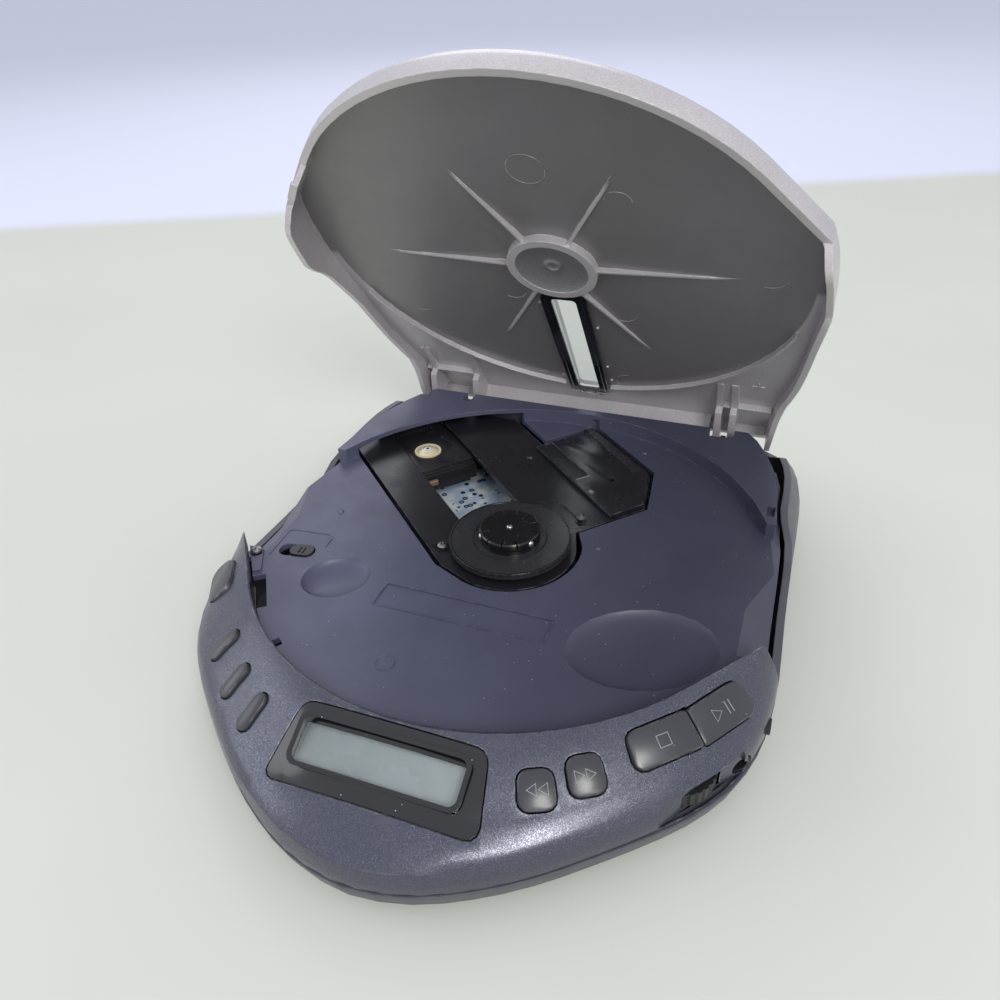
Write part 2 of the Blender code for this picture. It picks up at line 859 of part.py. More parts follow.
def make_bottom_case():
    rings = [
        level(inset(body_line, share * case_foot_inset), height * case_front_top)
        for share, height in case_foot_shares
    ]
    rise = case_fender_top - case_waist_top
    inner = []
    for share, height in case_foot_shares:
        back = share * case_foot_inset + case_wall * (1 - share)
        inner.append(level(inset(body_line, back), case_floor + height * case_front_top))
    for height, share in lean_shares:
        top = case_waist_top + height * rise
        rings.append(level(inset(body_line, share * fender_lean), top))
        inner.append(level(inset(body_line, share * fender_lean + case_wall), top))
    inner.append(level(inset(body_line, fender_lean + case_wall), case_fender_top + overrun))
    case = add("bottom_case", loft(rings), "case")
    cut(case, loft(inner))
    skyline = [(-nose_reach - overrun, case_front_top), (case_tip, case_front_top), (case_tip, case_waist_top)]
    skyline += [(y * rear_reach, case_waist_top + z * rise) for y, z in fender_shares]
    skyline += [(rear_reach + overrun, case_rear_top), (rear_reach + overrun, case_fender_top + overrun)]
    skyline += [(-nose_reach - overrun, case_fender_top + overrun)]
    cut(case, side_plate(skyline, -half_width - overrun, half_width + overrun))
    rear_low = (-case_rear_half, shelf_rear + case_wall, case_rear_top)
    cut(case, box(rear_low, (case_rear_half, rear_reach + overrun, case_fender_top + overrun)))
    # Battery bay and its opening
    outer_half = bay_half + bay_wall
    fuse(case, box((-outer_half, bay_front - bay_wall, case_floor / 2), (outer_half, bay_rear + bay_wall, bay_top)))
    cut(case, box((-bay_half, bay_front, -overrun), (bay_half, bay_rear, bay_top + overrun)))
    for pit in (left_pit, right_pit):
        cut(case, pit_ball(pit, pit_wall + slide_gap))
    pins = drum(door_pin + running, gap - outer_half, outer_half - gap, sides=12)
    cut(case, moved(pins, along(0, 0, bay_front + door_axis_in, door_barrel)))
    # Bosses
    for u, v in damper_places:
        x, y = deck_place(u, v)
        fuse(case, drum(damper_radius, case_floor / 2, damper_boss_top, x, y, 20))
    for x, y in placed(rear_boss_shares):
        fuse(case, drum(boss_radius, case_floor / 2, boss_top, x, y, 16))
        cut(case, drum(boss_bore, case_floor, boss_top + overrun, x, y, 12))
    for x, y in placed(front_boss_shares):
        fuse(case, drum(boss_radius, case_floor / 2, front_boss_top, x, y, 16))
        cut(case, drum(boss_bore, case_floor, front_boss_top + overrun, x, y, 12))
    for x, y in foot_places:
        cut(case, drum(foot_radius + gap, -overrun, foot_recess, x, y, 24))
    # Rear sockets
    for x in (dc_place, line_place):
        hole = drum(socket_outer + gap, 0, case_wall + 2 * overrun, sides=24)
        cut(case, moved(hole, along(90, x, rear_reach - case_wall - overrun, socket_height)))
    return case


def panel_solid(degrees):
    return panel_section(degrees) + [(wall_radius(degrees), well_wall_bottom)]


def panel_cavity(degrees):
    edge = body_radius(degrees)
    near, far = wall_radius(degrees) + well_wall, edge - panel_rim_wall
    made = [(far, case_front_top - overrun)]
    for radius in np.linspace(far, near, 4):
        made.append((radius, panel_height(radius, degrees) - panel_wall))
    made.append((near, case_front_top - overrun))
    return made


def key_outline(key, grow=0.0):
    wide, long = key["wide"] + 2 * grow, key["long"] + 2 * grow
    return bent(rounded_box(wide, long, key["corner"] + grow, meets=key.get("meets", 0)), key["radius"])


def display_outline(grow=0.0, drop=0.0):
    line = rounded_box(lens_long + 2 * grow, lens_high + 2 * grow, lens_corner + grow)
    half = lens_high / 2
    taper = (1 - lens_narrow_share) / 2
    return [(x * (1 - taper * (1 + y / half)), y) for x, y in line]


def view_outline(grow=0.0):
    return rounded_box(view_long + 2 * grow, view_high + 2 * grow, key_edge, y=view_shift)


def display_layer(outline, deep, top, frame=None):
    """A prism through the display's outline, between two depths below the panel's curved surface."""
    prism_frame = panel_frame(display_angle, display_radius)
    back = prism_frame.inverted() if frame else Matrix()

    def layer(degrees):
        radii = np.linspace(body_radius(degrees) - well_wall, well_radius + gap, 12)
        heights = [panel_height(radius, degrees) for radius in radii]
        upper = [(radius, height - top) for radius, height in zip(radii, heights)]
        return upper + [(radius, height - deep) for radius, height in zip(reversed(radii), reversed(heights))]

    angles = (display_angle - key_board_display_half, display_angle + key_board_display_half)
    made = helper(moved(loft(sections_between(angles, key_board_display_half, layer)), back), frame)
    reach = lens_high
    keep(made, moved(plate(outline, -reach, reach), back @ prism_frame))
    return made


def make_front_panel():
    panel = add("front_panel", loft(sections_between(panel_angles, panel_stations, panel_solid)), "panel")
    reach = nose_reach + overrun
    cut(panel, box((-reach, panel_tip, -overrun), (reach, 0, panel_top + overrun)))
    cut(panel, loft(sections_between(cavity_angles, cavity_stations, panel_cavity)))
    for key in keys.values():
        hole = plate(key_outline(key, key_gap), -key_pocket, key_pocket / 2)
        cut(panel, moved(hole, panel_frame(key["angle"], key["radius"])))
    cut(panel, display_layer(display_outline(gap), lens_ledge, -lens_ledge))
    cut(panel, display_layer(view_outline(gap), 2 * panel_wall, overlap - lens_ledge))
    # Scooped recess with the volume wheel's slot
    face_x, face_y = wheel_face()
    scoop = box((-scoop_deep, -scoop_long / 2, scoop_bottom), (scoop_deep * 3, scoop_long / 2, scoop_top))
    scoop_frame = Matrix.Translation((face_x, face_y, 0)) @ Matrix.Rotation(math.radians(wheel_facing), 4, "Z")
    cut(panel, moved(scoop, scoop_frame))
    low = wheel_bottom - wheel_pocket_gap
    high = wheel_bottom + wheel_thick + wheel_pocket_gap
    cut(panel, drum(wheel_radius + wheel_pocket_gap, low, high, wheel_x, wheel_y, 40))
    cut(panel, moved(drum(jack_outer + gap, -overrun - jack_long, 0, sides=20), jack_frame()))
    cut(panel, moved(drum(jack_bore, -jack_long / 2, jack_long / 2, sides=20), jack_frame()))
    switch = slot_switch
    half = switch["long"] / 2
    low = (switch["x"] - slot_switch_deep, switch["y"] - half, switch["z"] - switch["high"] / 2)
    cut(panel, box(low, (switch["x"] + overrun, switch["y"] + half, switch["z"] + switch["high"] / 2)))
    return panel


def wheel_face():
    """Where the outline faces the volume wheel."""
    x, y = at(wheel_radius - running + scoop_deep / 2, wheel_facing)
    return (wheel_x + x, wheel_y + y)


def jack_frame():
    return along(jack_facing, jack_x, jack_y, jack_height)


def shelf_outline():
    """The raised rear of the well, outside its round wall."""
    start = math.degrees(math.asin(shelf_front / shelf_radius))
    inner = arc(shelf_radius, 180 - start, start, 34)
    right = [(a * shelf_half, b * shelf_rear) for a, b in shelf_side_shares]
    return inner + right + [(-x, y) for x, y in reversed(right)]


def shelf_hollow(sign):
    rear = shelf_rear - shelf_wall
    inner = arc(shelf_radius + shelf_wall, *shelf_hollow_angles, 22)
    outer = [(shelf_half - shelf_wall, inner[-1][1])]
    outer += [(a * shelf_half - shelf_wall, min(b * shelf_rear, rear)) for a, b in shelf_side_shares[1:]]
    return [(sign * x, y) for x, y in inner + outer + [(inner[0][0], rear)]]


def deck_outline(grow):
    """Outline in the deck's frame of the well's opening, or of the deck that much inside it."""
    near = [(deck_far_left[1] - grow, deck_left - grow), (deck_near_left, deck_left - grow)]
    lobe = arc(lobe_radius - grow, *lobe_angles, 16)
    right = [
        (deck_near_right + grow, deck_turn_in), (deck_near_right + grow, deck_chamfer_v),
        (deck_chamfer_u, deck_right + grow), (deck_step_u - grow, deck_right + grow),
        (deck_step_u - grow, deck_step_v + grow),
    ]
    far = [
        (deck_far_right[0] - grow / 2, deck_step_v + grow), (deck_far - grow, deck_far_right[1]),
        (deck_far - grow, deck_far_left[0] - grow / 2),
    ]
    return near + lobe + right + far


def floor_strip(y, fold):
    """Section of the well's floor at y, with its sides folded down outside the fold."""
    low = floor_top - (half_width - fold) * (floor_top - side_low) / (side_reach - side_fold)
    line = [(half_width, low), (fold, floor_top), (-fold, floor_top), (-half_width, low)]
    return [(x, y, z) for x, z in line] + [(x, y, z - floor_thick) for x, z in reversed(line)]


def make_disc_well():
    front = flared(well_gap, side_front, 22)
    right = [(side_reach, side_front)] + [(a * shelf_half, b * shelf_rear) for a, b in ledge_side_shares]
    shelf_side = [(a * shelf_half - shelf_wall / 2, b * shelf_rear) for a, b in shelf_side_shares[:6]]
    right += [(shelf_side[-1][0], right[-1][1])] + shelf_side[-3::-1]
    under = shelf_radius + shelf_wall / 2
    rear = arc(under, *under_angles, 30)
    left_front = [(-x, y) for x, y in reversed(front)][:-1]
    floor = left_front + front + right + rear + [(-x, y) for x, y in reversed(right)]
    well = add("disc_well", plate(floor, trough_top, floor_top + gap), "well")
    # Floor with sides folded down, which the lid's skirt comes down over
    keep(well, loft([floor_strip(y * rear_reach, fold * side_fold) for y, fold in fold_shares]))
    # The tips in front of the skirt stay level
    (x, y), (tip_x, tip_y) = flared(well_gap + running, side_front - running, 22)[-2:]
    near = side_fold - floor_thick
    outline = [(near, tip_y), (near, y + (near - x) * (tip_y - y) / (tip_x - x)), (tip_x, tip_y)]
    for sign in (-1, 1):
        tip = [(sign * x, y) for x, y in outline][::sign]
        fuse(well, plate(tip, floor_top - floor_thick + running, floor_top - running))
    # Raised shelf at the rear, open below
    shelf = helper(plate(shelf_outline(), floor_top - floor_thick - overlap, shelf_top))
    for sign in (-1, 1):
        cut(shelf, plate(shelf_hollow(sign), floor_top - floor_thick - overrun, shelf_top - shelf_plate))
    hole = shelf_hole
    half_long, half_wide = hole["long"] / 2, hole["wide"] / 2
    low = (hole["x"] - half_long, hole["y"] - half_wide, shelf_top - hole["depth"])
    cut(shelf, box(low, (hole["x"] + half_long, hole["y"] + half_wide, shelf_top + overrun)))
    fuse(well, shelf)
    # Trough behind the shelf, under the hinge
    back, front_y = shelf_rear - overlap, shelf_rear - shelf_wall + overlap
    trough = [
        (front_y, trough_top - floor_thick), (trough_rear, trough_top - floor_thick), (trough_rear, trough_top),
        (back, trough_top), (back, floor_top + overlap), (front_y, floor_top + overlap),
    ]
    fuse(well, side_plate(trough, -trough_half, trough_half))
    slot_front, slot_rear = ear_web_y - slide_gap - gap, hinge_y - ear_round - slide_gap
    for low, high in ear_slots():
        cut(well, box((low, slot_front, floor_top - floor_thick - gap), (high, slot_rear, shelf_top + overrun)))
    for low, high in lug_spans():
        lug = helper(side_plate(lug_outline(), low, high))
        cut(lug, moved(drum(pin_radius + running, low - overrun, high + overrun, sides=20), along(0, 0, hinge_y, hinge_z)))
        fuse(well, lug)
    # Opening for the deck
    opening = [deck_place(u, v) for u, v in deck_outline(0)]
    cut(well, plate(opening, trough_top - overrun, shelf_top - shelf_plate + overlap))
    # Pad of the latch screw
    x, y = latch_screw_place
    fuse(well, plate(placed(latch_pad_shares), floor_top - floor_thick / 2, latch_screw_seat))
    cut(well, drum(deck_screw_shank + gap, trough_top, latch_screw_seat + overrun, x, y, 12))
    # Finger pits
    for pit in (left_pit, right_pit):
        fuse(well, pit_bowl(pit))
        cut(well, pit_ball(pit, 0))
    # Slot of the catch, hole beside it, slot of the hold switch and a shallow bed for the label
    slot_frame = Matrix.Rotation(math.radians(catch_angle), 4, "Z")
    low = (catch_slot_inner, -catch_slot_half, trough_top)
    cut(well, moved(box(low, (catch_slot_outer, catch_slot_half, floor_top + overrun)), slot_frame))
    key_frame = Matrix.Rotation(math.radians(key_hole_angle), 4, "Z") @ Matrix.Translation((key_hole_radius, 0, 0))
    half = key_hole_size / 2
    cut(well, moved(box((-half, -half, trough_top), (half, half, floor_top + overrun)), key_frame))
    slot = rounded_box(hold["long"], hold["wide"], hold["wide"] / 2 - gap, hold["x"], hold["y"], hold["turn"])
    cut(well, plate(slot, trough_top, floor_top + overrun))
    bed = label_bed
    bed_line = rounded_box(bed["long"], bed["wide"], key_edge, bed["x"], bed["y"])
    cut(well, plate(bed_line, floor_top - bed["depth"], shelf_top))
    # Rest bumps and the small ring
    for x, y in bump_places:
        fuse(well, drum(bump_radius, floor_top - floor_thick / 2, floor_top + bump_rise, x, y, 12, bump_radius / 2))
    ring = well_ring
    rise = floor_top + ring["rise"]
    fuse(well, drum(ring["radius"], floor_top - floor_thick / 2, rise, ring["x"], ring["y"], 20))
    inner = ring["radius"] - ring["wall"]
    cut(well, drum(inner, floor_top + overlap / 2, rise + overrun, ring["x"], ring["y"], 20))
    return well


def pit_ball(pit, wall):
    """A flattened ball, which is the pit's hollow or, with a wall, the outside of its bowl."""

    def build(made):
        bmesh.ops.create_uvsphere(made, u_segments=20, v_segments=10, radius=1)

    size = Matrix.Diagonal((pit["long"] + wall, pit["wide"] + wall, pit_depth + wall, 1))
    turn = Matrix.Rotation(math.radians(pit["turn"]), 4, "Z")
    return moved(mesh_from(build), Matrix.Translation((pit["x"], pit["y"], floor_top + overlap)) @ turn @ size)


def pit_bowl(pit):
    bowl = helper(pit_ball(pit, pit_wall))
    reach = pit["long"] + 2 * pit_wall
    low = (pit["x"] - reach, pit["y"] - reach, floor_top - floor_thick / 2)
    cut(bowl, box(low, (pit["x"] + reach, pit["y"] + reach, floor_top + 2 * pit_depth)))
    return bowl


def lug_spans():
    """Each hinge lug stands between two ears of the lid."""
    side = ear_thick / 2 + lug_gap
    return [(max(low + side, -trough_half), min(high - side, trough_half)) for low, high in hinge_pairs]


def ear_slots():
    """Slots in the shelf's rear edge for the ears, one for both where they stand close together."""
    side = ear_thick / 2 + slide_gap
    slots = []
    for low, high in hinge_pairs:
        if high - low < ear_pair_near:
            slots.append((low - side, high + side))
        else:
            slots += [(low - side, low + side), (high - side, high + side)]
    return slots


def lug_outline():
    lower = trough_top - floor_thick / 2
    head = [(hinge_y + a, hinge_z + b) for a, b in arc(lug_round, 0, 180, 11)]
    return [(hinge_y + lug_round, lower)] + head + [(hinge_y - lug_round, lower)]


# Pieces of the lid, in the shut position and then turned open

lid_frame = Matrix.Translation((0, hinge_y, hinge_z)) @ Matrix.Rotation(-math.radians(lid_open_angle), 4, "X")
shut = Matrix.Translation((0, -hinge_y, -hinge_z))


def lid_line():
    front = flared(lid_front_gap, panel_tip, 12)[:-1]
    side = [tuple(point) for point in eased(placed(lid_shares), 2, closed=False)]
    rear = placed(lid_shares[-1:])[0]
    return mirrored(front + side + [rear, (rear[0] / 2, rear[1]), (0, rear[1])])


def shrunk(line, share):
    return [(x * (1 - share), lid_middle + (y - lid_middle) * (1 - share)) for x, y in line]


def make_lid():
    line = lid_line()
    rings = [level(line, lid_bottom - overlap)]
    for share, rise in lid_round_shares:
        rings.append(level(shrunk(line, share), lid_shoulder + rise * (lid_edge_top - lid_shoulder)))
    for share, rise in lid_dome_shares:
        rings.append(level(shrunk(line, share), lid_edge_top + rise * (lid_crown - lid_edge_top)))
    lid = add("lid_shell", moved(loft(rings), shut), "lid", lid_frame)
    inner = inset(line, lid_wall)
    cut(lid, moved(loft([level(inner, lid_bottom - overrun), level(shrunk(inner, lid_draft), lid_inner_top)]), shut))
    # Lower edge of the skirts
    reach = nose_reach + overrun
    low = lid_bottom - 2 * overrun
    rise = lid_side_edge - lid_bottom
    edge = [(-reach, low), (-reach, lid_skirt_front), (lid_skirt_shares[0][0] * rear_reach, lid_skirt_front)]
    edge += [(y * rear_reach, lid_bottom + share * rise) for y, share in lid_skirt_shares]
    edge += [(edge[-1][0], low)]
    cut(lid, moved(side_plate(edge, -reach, reach), shut))
    # Ears of the hinge, each with a rib that runs forward from it, and a cross web beside each pair
    roof = lid_inner_top + lid_wall / 2
    web_low = lid_inner_top - ear_rib_drop
    head = [(hinge_y + a, hinge_z + b) for a, b in arc(ear_round, 180, 360, 11)]
    outline = head + [
        (hinge_y + ear_round, roof), (ear_rib_front, roof), (ear_rib_front, lid_inner_top - overlap),
        (ear_web_y, web_low), (ear_web_y, web_low - ear_round),
    ]
    for place in sum(hinge_pairs, ()):
        low, high = place - ear_thick / 2, place + ear_thick / 2
        ear = helper(moved(side_plate(outline, low, high), shut), lid_frame)
        hole = drum(pin_radius + running, low - overrun, high + overrun, sides=20)
        cut(ear, moved(hole, shut @ along(0, 0, hinge_y, hinge_z)))
        fuse(lid, ear)
    edge_x = placed(lid_shares[-2:])[0][0] - lid_wall / 2
    for low, high in ((-edge_x, hinge_pairs[0][1]), (hinge_pairs[1][0], edge_x)):
        fuse(lid, moved(box((low, ear_web_y, web_low), (high, ear_web_y + ear_web_wall, roof)), shut))
    rear_low = (-rear_rib_half, rear_rib_y, rear_rib_bottom)
    fuse(lid, moved(box(rear_low, (rear_rib_half, rear_rib_y + rear_rib_thick, roof)), shut))
    # Ring over the hub and the ribs from it
    ring_low = lid_inner_top - ring_drop
    ring_inner = ring_radius - ring_wall
    ring = turned([(ring_inner, ring_low), (ring_radius, ring_low), (ring_radius, roof), (ring_inner, roof)], 40)
    fuse(lid, moved(ring, shut))
    near = ring_radius - ring_wall / 2
    for degrees, end in rib_places:
        outline = [(near, lid_inner_top - rib_drop), (end, lid_inner_top + overlap), (end, roof), (near, roof)]
        rib = front_plate(outline, -rib_thick / 2, rib_thick / 2)
        fuse(lid, moved(rib, shut @ Matrix.Rotation(math.radians(degrees), 4, "Z")))
    for start, end in arc_rib_angles:
        outline = arc(arc_rib_radius, start, end, 13) + arc(arc_rib_radius - rib_thick, end, start, 13)
        fuse(lid, moved(plate(outline, lid_inner_top - arc_rib_drop, roof), shut))
    # Hook of the catch
    hook = [
        (hook_inner, roof), (hook_inner, hook_bottom), (hook_nose, hook_bottom), (hook_nose, hook_nose_top),
        (hook_outer, hook_nose_top), (hook_outer, roof),
    ]
    turn = Matrix.Rotation(math.radians(catch_angle), 4, "Z")
    fuse(lid, moved(front_plate(hook, hook_shift - hook_half, hook_shift + hook_half), shut @ turn))
    # Opening of the window
    middle = (window_rear + window_front) / 2
    opening = rounded_box(2 * window_half, window_rear - window_front, window_corner, y=middle)
    cut(lid, moved(plate(opening, lid_inner_top - overrun, lid_crown + overrun), shut))
    return lid


def make_window():
    middle = (window_rear + window_front) / 2
    long = window_rear - window_front - 2 * gap
    line = rounded_box(2 * window_half - 2 * gap, long, window_corner, y=middle)
    add("lid_window", moved(plate(line, lid_inner_top, lid_inner_top + window_plate), shut), "clear", lid_frame)
    wide = window_frame_wide
    outer = rounded_box(2 * (window_half + wide), long + 2 * wide, wide, y=middle)
    ring = plate(outer, lid_inner_top - gap - window_frame_thick, lid_inner_top - gap, holes=(line,))
    add("window_frame", moved(ring, shut), "gloss", lid_frame)


def make_hinge_pins():
    over = ear_thick / 2 + pin_over
    for name, (low, high) in zip(("hinge_pin_left", "hinge_pin_right"), hinge_pairs):
        add(name, drum(pin_radius, low - over, high + over, sides=20), "steel", along(0, 0, hinge_y, hinge_z))


# Deck and drive, in the deck's frame

def make_chassis():
    outline = deck_outline(deck_gap)
    chassis = add("deck_chassis", plate(outline, deck_bottom, deck_top), "black", deck_turn)
    hollow = deck_outline(deck_gap + deck_wall)
    cut(chassis, plate(hollow, deck_bottom - overrun, deck_top - deck_plate))
    under = deck_top - deck_plate / 2
    for u, v in damper_places:
        fuse(chassis, drum(damper_radius, deck_bottom + overlap, under, u, v, 16))
    block = rod_block
    low = (block["near"], rod_side - block["half"], block["low"])
    fuse(chassis, box(low, (block["far"], rod_side + block["half"], under)))
    low = (bracket["near"], bracket["right"], bracket["low"])
    fuse(chassis, box(low, (bracket["far"], bracket["left"], under)))
    top = deck_top + overrun
    cut(chassis, box((window_near, window_right, deck_top - deck_plate - overlap), (window_far, window_left, top)))
    cut(chassis, drum(motor_radius + motor_hole_gap, deck_top - deck_plate - overrun, top, sides=36))
    for v, radius, near in (
        (rod_side, rod_radius, rod_near - gap), (screw_side, screw_radius, screw_near - gap),
    ):
        cut(chassis, moved(drum(radius + running, near, deck_far, sides=16), rod_frame(v)))
    hole = drum(motor_shaft_radius + gap, bracket["near"] - overrun, bracket["far"] + overrun, sides=12)
    cut(chassis, moved(hole, rod_frame(motor_side)))
    fuse(chassis, drum(bump_radius, under, deck_top + bump_rise, *deck_bump, 12, bump_radius / 2))
    for u, v in deck_screw_places:
        cut(chassis, drum(deck_screw_shank + gap, deck_top - deck_plate - overrun, top, u, v, 12))
    return chassis


motor_side = screw_side - gear_module * (gear_teeth + pinion_teeth) / 2


def rod_frame(v):
    """A rod along U: local Z points along U, and the origin is level with the spindle."""
    return Matrix.Translation((0, v, drive_height)) @ Matrix.Rotation(math.pi / 2, 4, "Y")


def make_cover():
    outline = deck_outline(deck_gap + cover_inset)
    low = deck_top + gap
    cover = add("deck_cover", plate(outline, low, low + cover_thick), "black", deck_turn)
    reach = deck_far * 2
    cut(cover, box((-reach, cover_left, 0), (reach, reach, shelf_top)))
    cut(cover, box((deck_step_u - deck_gap - cover_inset - gap, -reach, 0), (reach, reach, shelf_top)))
    pane = cover_pane
    cut(cover, box((*pane["low"], low + cover_thick - pane["depth"]), (*pane["high"], shelf_top)))
    for u, v in cover_slots:
        half = cover_slot_size / 2
        cut(cover, box((u - half, v - half, 0), (u + half, v + half, shelf_top)))
    return cover


def make_turntable():
    low = platter_top - platter_thick
    bore = shaft_radius + running
    groove = platter_top - platter_groove
    profile = [
        (bore, boss_low), (boss_wide, boss_low), (boss_wide, low), (platter_radius, low), (platter_radius, platter_top),
        (platter_ring, platter_top), (platter_ring - groove_wide, groove), (hub_radius, groove),
        (hub_radius, hub_top - hub_edge), (hub_radius - hub_edge, hub_top), (bore, hub_top),
    ]
    table = add("turntable", turned(profile, 48), "key")
    for number, degrees in enumerate(ball_angles, 1):
        frame = Matrix.Rotation(math.radians(degrees), 4, "Z") @ Matrix.Translation((0, 0, ball_height))
        socket = drum(ball_radius + running, ball_socket, hub_radius + overrun, sides=16)
        cut(table, moved(socket, frame @ Matrix.Rotation(math.pi / 2, 4, "Y")))
        reach = hub_radius + ball_rise - ball_radius
        ball = mesh_from(lambda made: bmesh.ops.create_uvsphere(made, u_segments=12, v_segments=8, radius=ball_radius))
        add("clamp_ball_" + str(number), ball, "nylon", frame @ Matrix.Translation((reach, 0, 0)))
    add("spindle_shaft", drum(shaft_radius, shaft_bottom, shaft_top, sides=16), "steel")
    edge = motor_radius - motor_edge
    profile = [
        (bore, motor_bottom), (motor_radius, motor_bottom), (motor_radius, motor_top - motor_edge),
        (edge, motor_top), (bore, motor_top),
    ]
    add("spindle_motor", turned(profile, 36), "steel")


lens_frame = deck_turn @ Matrix.Translation((lens_reach, 0, 0))


def make_pickup():
    block = box((-sled_near, sled_right, sled_block_bottom), (sled_far, sled_left, sled_block_top))
    sled = add("pickup_sled", block, "steel", lens_frame)
    step = (-sled_near - overrun, sled_right - overrun, sled_block_bottom - overrun)
    cut(sled, box(step, (sled_step_long - sled_near, sled_plate_left, sled_step_top)))
    low = (-sled_plate_near, sled_right + overlap, sled_plate_bottom)
    fuse(sled, box(low, (sled_far - overlap, sled_plate_left, sled_top)))
    low = (nut_near, screw_side - nut_half, drive_height - nut_high)
    fuse(sled, box(low, (nut_far, sled_right + overlap, drive_height + nut_high)))
    cut(sled, drum(pocket_radius, pocket_bottom, sled_top + overrun, sides=32))
    for v, radius in ((rod_side, rod_radius), (screw_side, screw_radius)):
        hole = drum(radius + running, -sled_near - overrun, sled_far + overrun, sides=16)
        cut(sled, moved(hole, rod_frame(v)))
    profile = [
        (holder_bore, holder_bottom), (holder_radius, holder_bottom), (holder_radius, holder_top),
        (lens_radius + gap / 2, holder_top), (lens_radius + gap / 2, lens_seat), (holder_bore, lens_seat),
    ]
    add("lens_holder", turned(profile, 32), "brass", lens_frame)
    dome = lens_bottom + lens_rim
    profile = [(0, lens_bottom), (lens_radius, lens_bottom)]
    profile += [(a * lens_radius, dome + b * lens_rise) for a, b in lens_dome_shares]
    add("objective_lens", turned(profile, 32), "glass", lens_frame)


def gear_outline(teeth):
    pitch = gear_module * teeth / 2
    made = []
    for tooth in range(teeth):
        for share, height in tooth_shares:
            made.append(at(pitch + height * gear_module, (tooth + share) * 360 / teeth))
    return made


def make_drive():
    rod = deck_turn @ rod_frame(rod_side)
    add("guide_rod", drum(rod_radius, rod_near, rod_far, sides=16), "steel", rod)
    screw = deck_turn @ rod_frame(screw_side)
    add("lead_screw", drum(screw_radius, screw_near, rod_far, sides=16), "steel", screw)
    hole = arc(screw_radius + running, 0, 337.5, 16)
    gear = plate(gear_outline(gear_teeth), gear_near, gear_near + gear_thick, holes=(hole,))
    add("lead_screw_gear", gear, "nylon", screw)
    motor = deck_turn @ rod_frame(motor_side)
    bore = motor_shaft_radius + running
    profile = [
        (bore, sled_motor_near), (sled_motor_radius, sled_motor_near), (sled_motor_radius, sled_motor_far),
        (bore, sled_motor_far),
    ]
    add("sled_motor", turned(profile, 28), "steel", motor)
    pinion = add("motor_pinion", plate(gear_outline(pinion_teeth), gear_near, gear_near + gear_thick), "brass", motor)
    fuse(pinion, drum(motor_shaft_radius, motor_shaft_near, motor_shaft_far, sides=12))


def make_screw(name, x, y, seat):
    profile = [
        (0, seat - deck_screw_long), (deck_screw_shank, seat - deck_screw_long), (deck_screw_shank, seat),
        (deck_screw_head, seat), (deck_screw_head, seat + deck_screw_rise),
        (deck_screw_shank, seat + 2 * deck_screw_rise), (0, seat + 2 * deck_screw_rise),
    ]
    add(name, turned(profile, 20), "steel", Matrix.Translation((x, y, 0)))


def make_dampers():
    low = damper_boss_top + gap / 2
    high = deck_bottom - gap / 2
    for number, (u, v) in enumerate(damper_places, 1):
        profile = [(damper_hole, low), (damper_radius, low), (damper_radius, high), (damper_hole, high)]
        place = Matrix.Translation((*deck_place(u, v), 0))
        add("damper_bush_" + str(number), turned(profile, 20), "rubber", place)


# Boards and display

def make_boards():
    line = [(x, y) for x, y in inset(body_line, board_inset) if y > board_front]
    line.sort(key=lambda point: math.atan2(point[1] - board_front, point[0]))
    ends = [(line[0][0], board_front), (line[-1][0], board_front)]
    board = add("main_board", plate([ends[0], *line, ends[1]], board_bottom, board_bottom + board_thick), "board")
    for u, v in damper_places:
        x, y = deck_place(u, v)
        cut(board, drum(damper_radius + board_hole_gap, 0, deck_bottom, x, y, 20))
    start, end = key_board_angles
    outer = []
    for degrees in np.linspace(start, end, 40):
        radius = min(body_radius(degrees) - key_board_rim, key_board_outer)
        if abs(degrees - display_angle) < key_board_display_half:
            radius = key_board_display
        outer.append(at(radius, degrees))
    inner = arc(key_board_inner, end, start, 40)
    add("key_board", plate(outer + inner, key_board_z, key_board_z + key_board_thick), "board")


def make_display():
    frame = panel_frame(display_angle, display_radius)
    lens = as_piece(display_layer(display_outline(), lens_thick, 0, frame), "display_lens", "clear")
    module = display_layer(view_outline(), module_top + module_thick, module_top, frame)
    return lens, as_piece(module, "display_module", "display")


def as_piece(obj, name, look):
    """A helper that becomes a piece itself."""
    cutters.objects.unlink(obj)
    parts.objects.link(obj)
    obj.name = name
    obj.hide_render = False
    obj.display_type = "TEXTURED"
    obj.data.materials.append(finishes[look])
    obj.data.shade_smooth()
    obj.data.set_sharp_from_angle(angle=math.radians(35))
    return obj


# Keys and controls

def make_key(name, look="key"):
    key = keys[name]
    frame = panel_frame(key["angle"], key["radius"])
    third = key_edge / 3
    rings = []
    for grow, height in ((0, -key_deep), (0, key_proud - key_edge), (-third, key_proud - third), (-key_edge, key_proud)):
        rings.append(level(key_outline(key, grow), height))
    piece = add(name, loft(rings), look, frame)
    # The stem ends above the board by the key's travel, also at its lower rim
    upright = (frame.to_3x3() @ Vector((0, 0, 1))).z
    rim = stem_radius * math.sqrt(1 - upright**2) / upright
    reach = (frame.translation.z - key_board_z - key_board_thick) / upright - rim - key_travel - stem_gap
    if name == "open_button":
        reach = key_deep + open_stem
    fuse(piece, drum(stem_radius, -reach, gap - key_deep, sides=8))
    return piece


def wheel_outline():
    made = []
    for groove in range(wheel_grooves):
        for share, drop in ((0, 0), (0.5, 0), (0.75, wheel_groove)):
            made.append(at(wheel_radius - drop, (groove + share) * 360 / wheel_grooves))
    return made


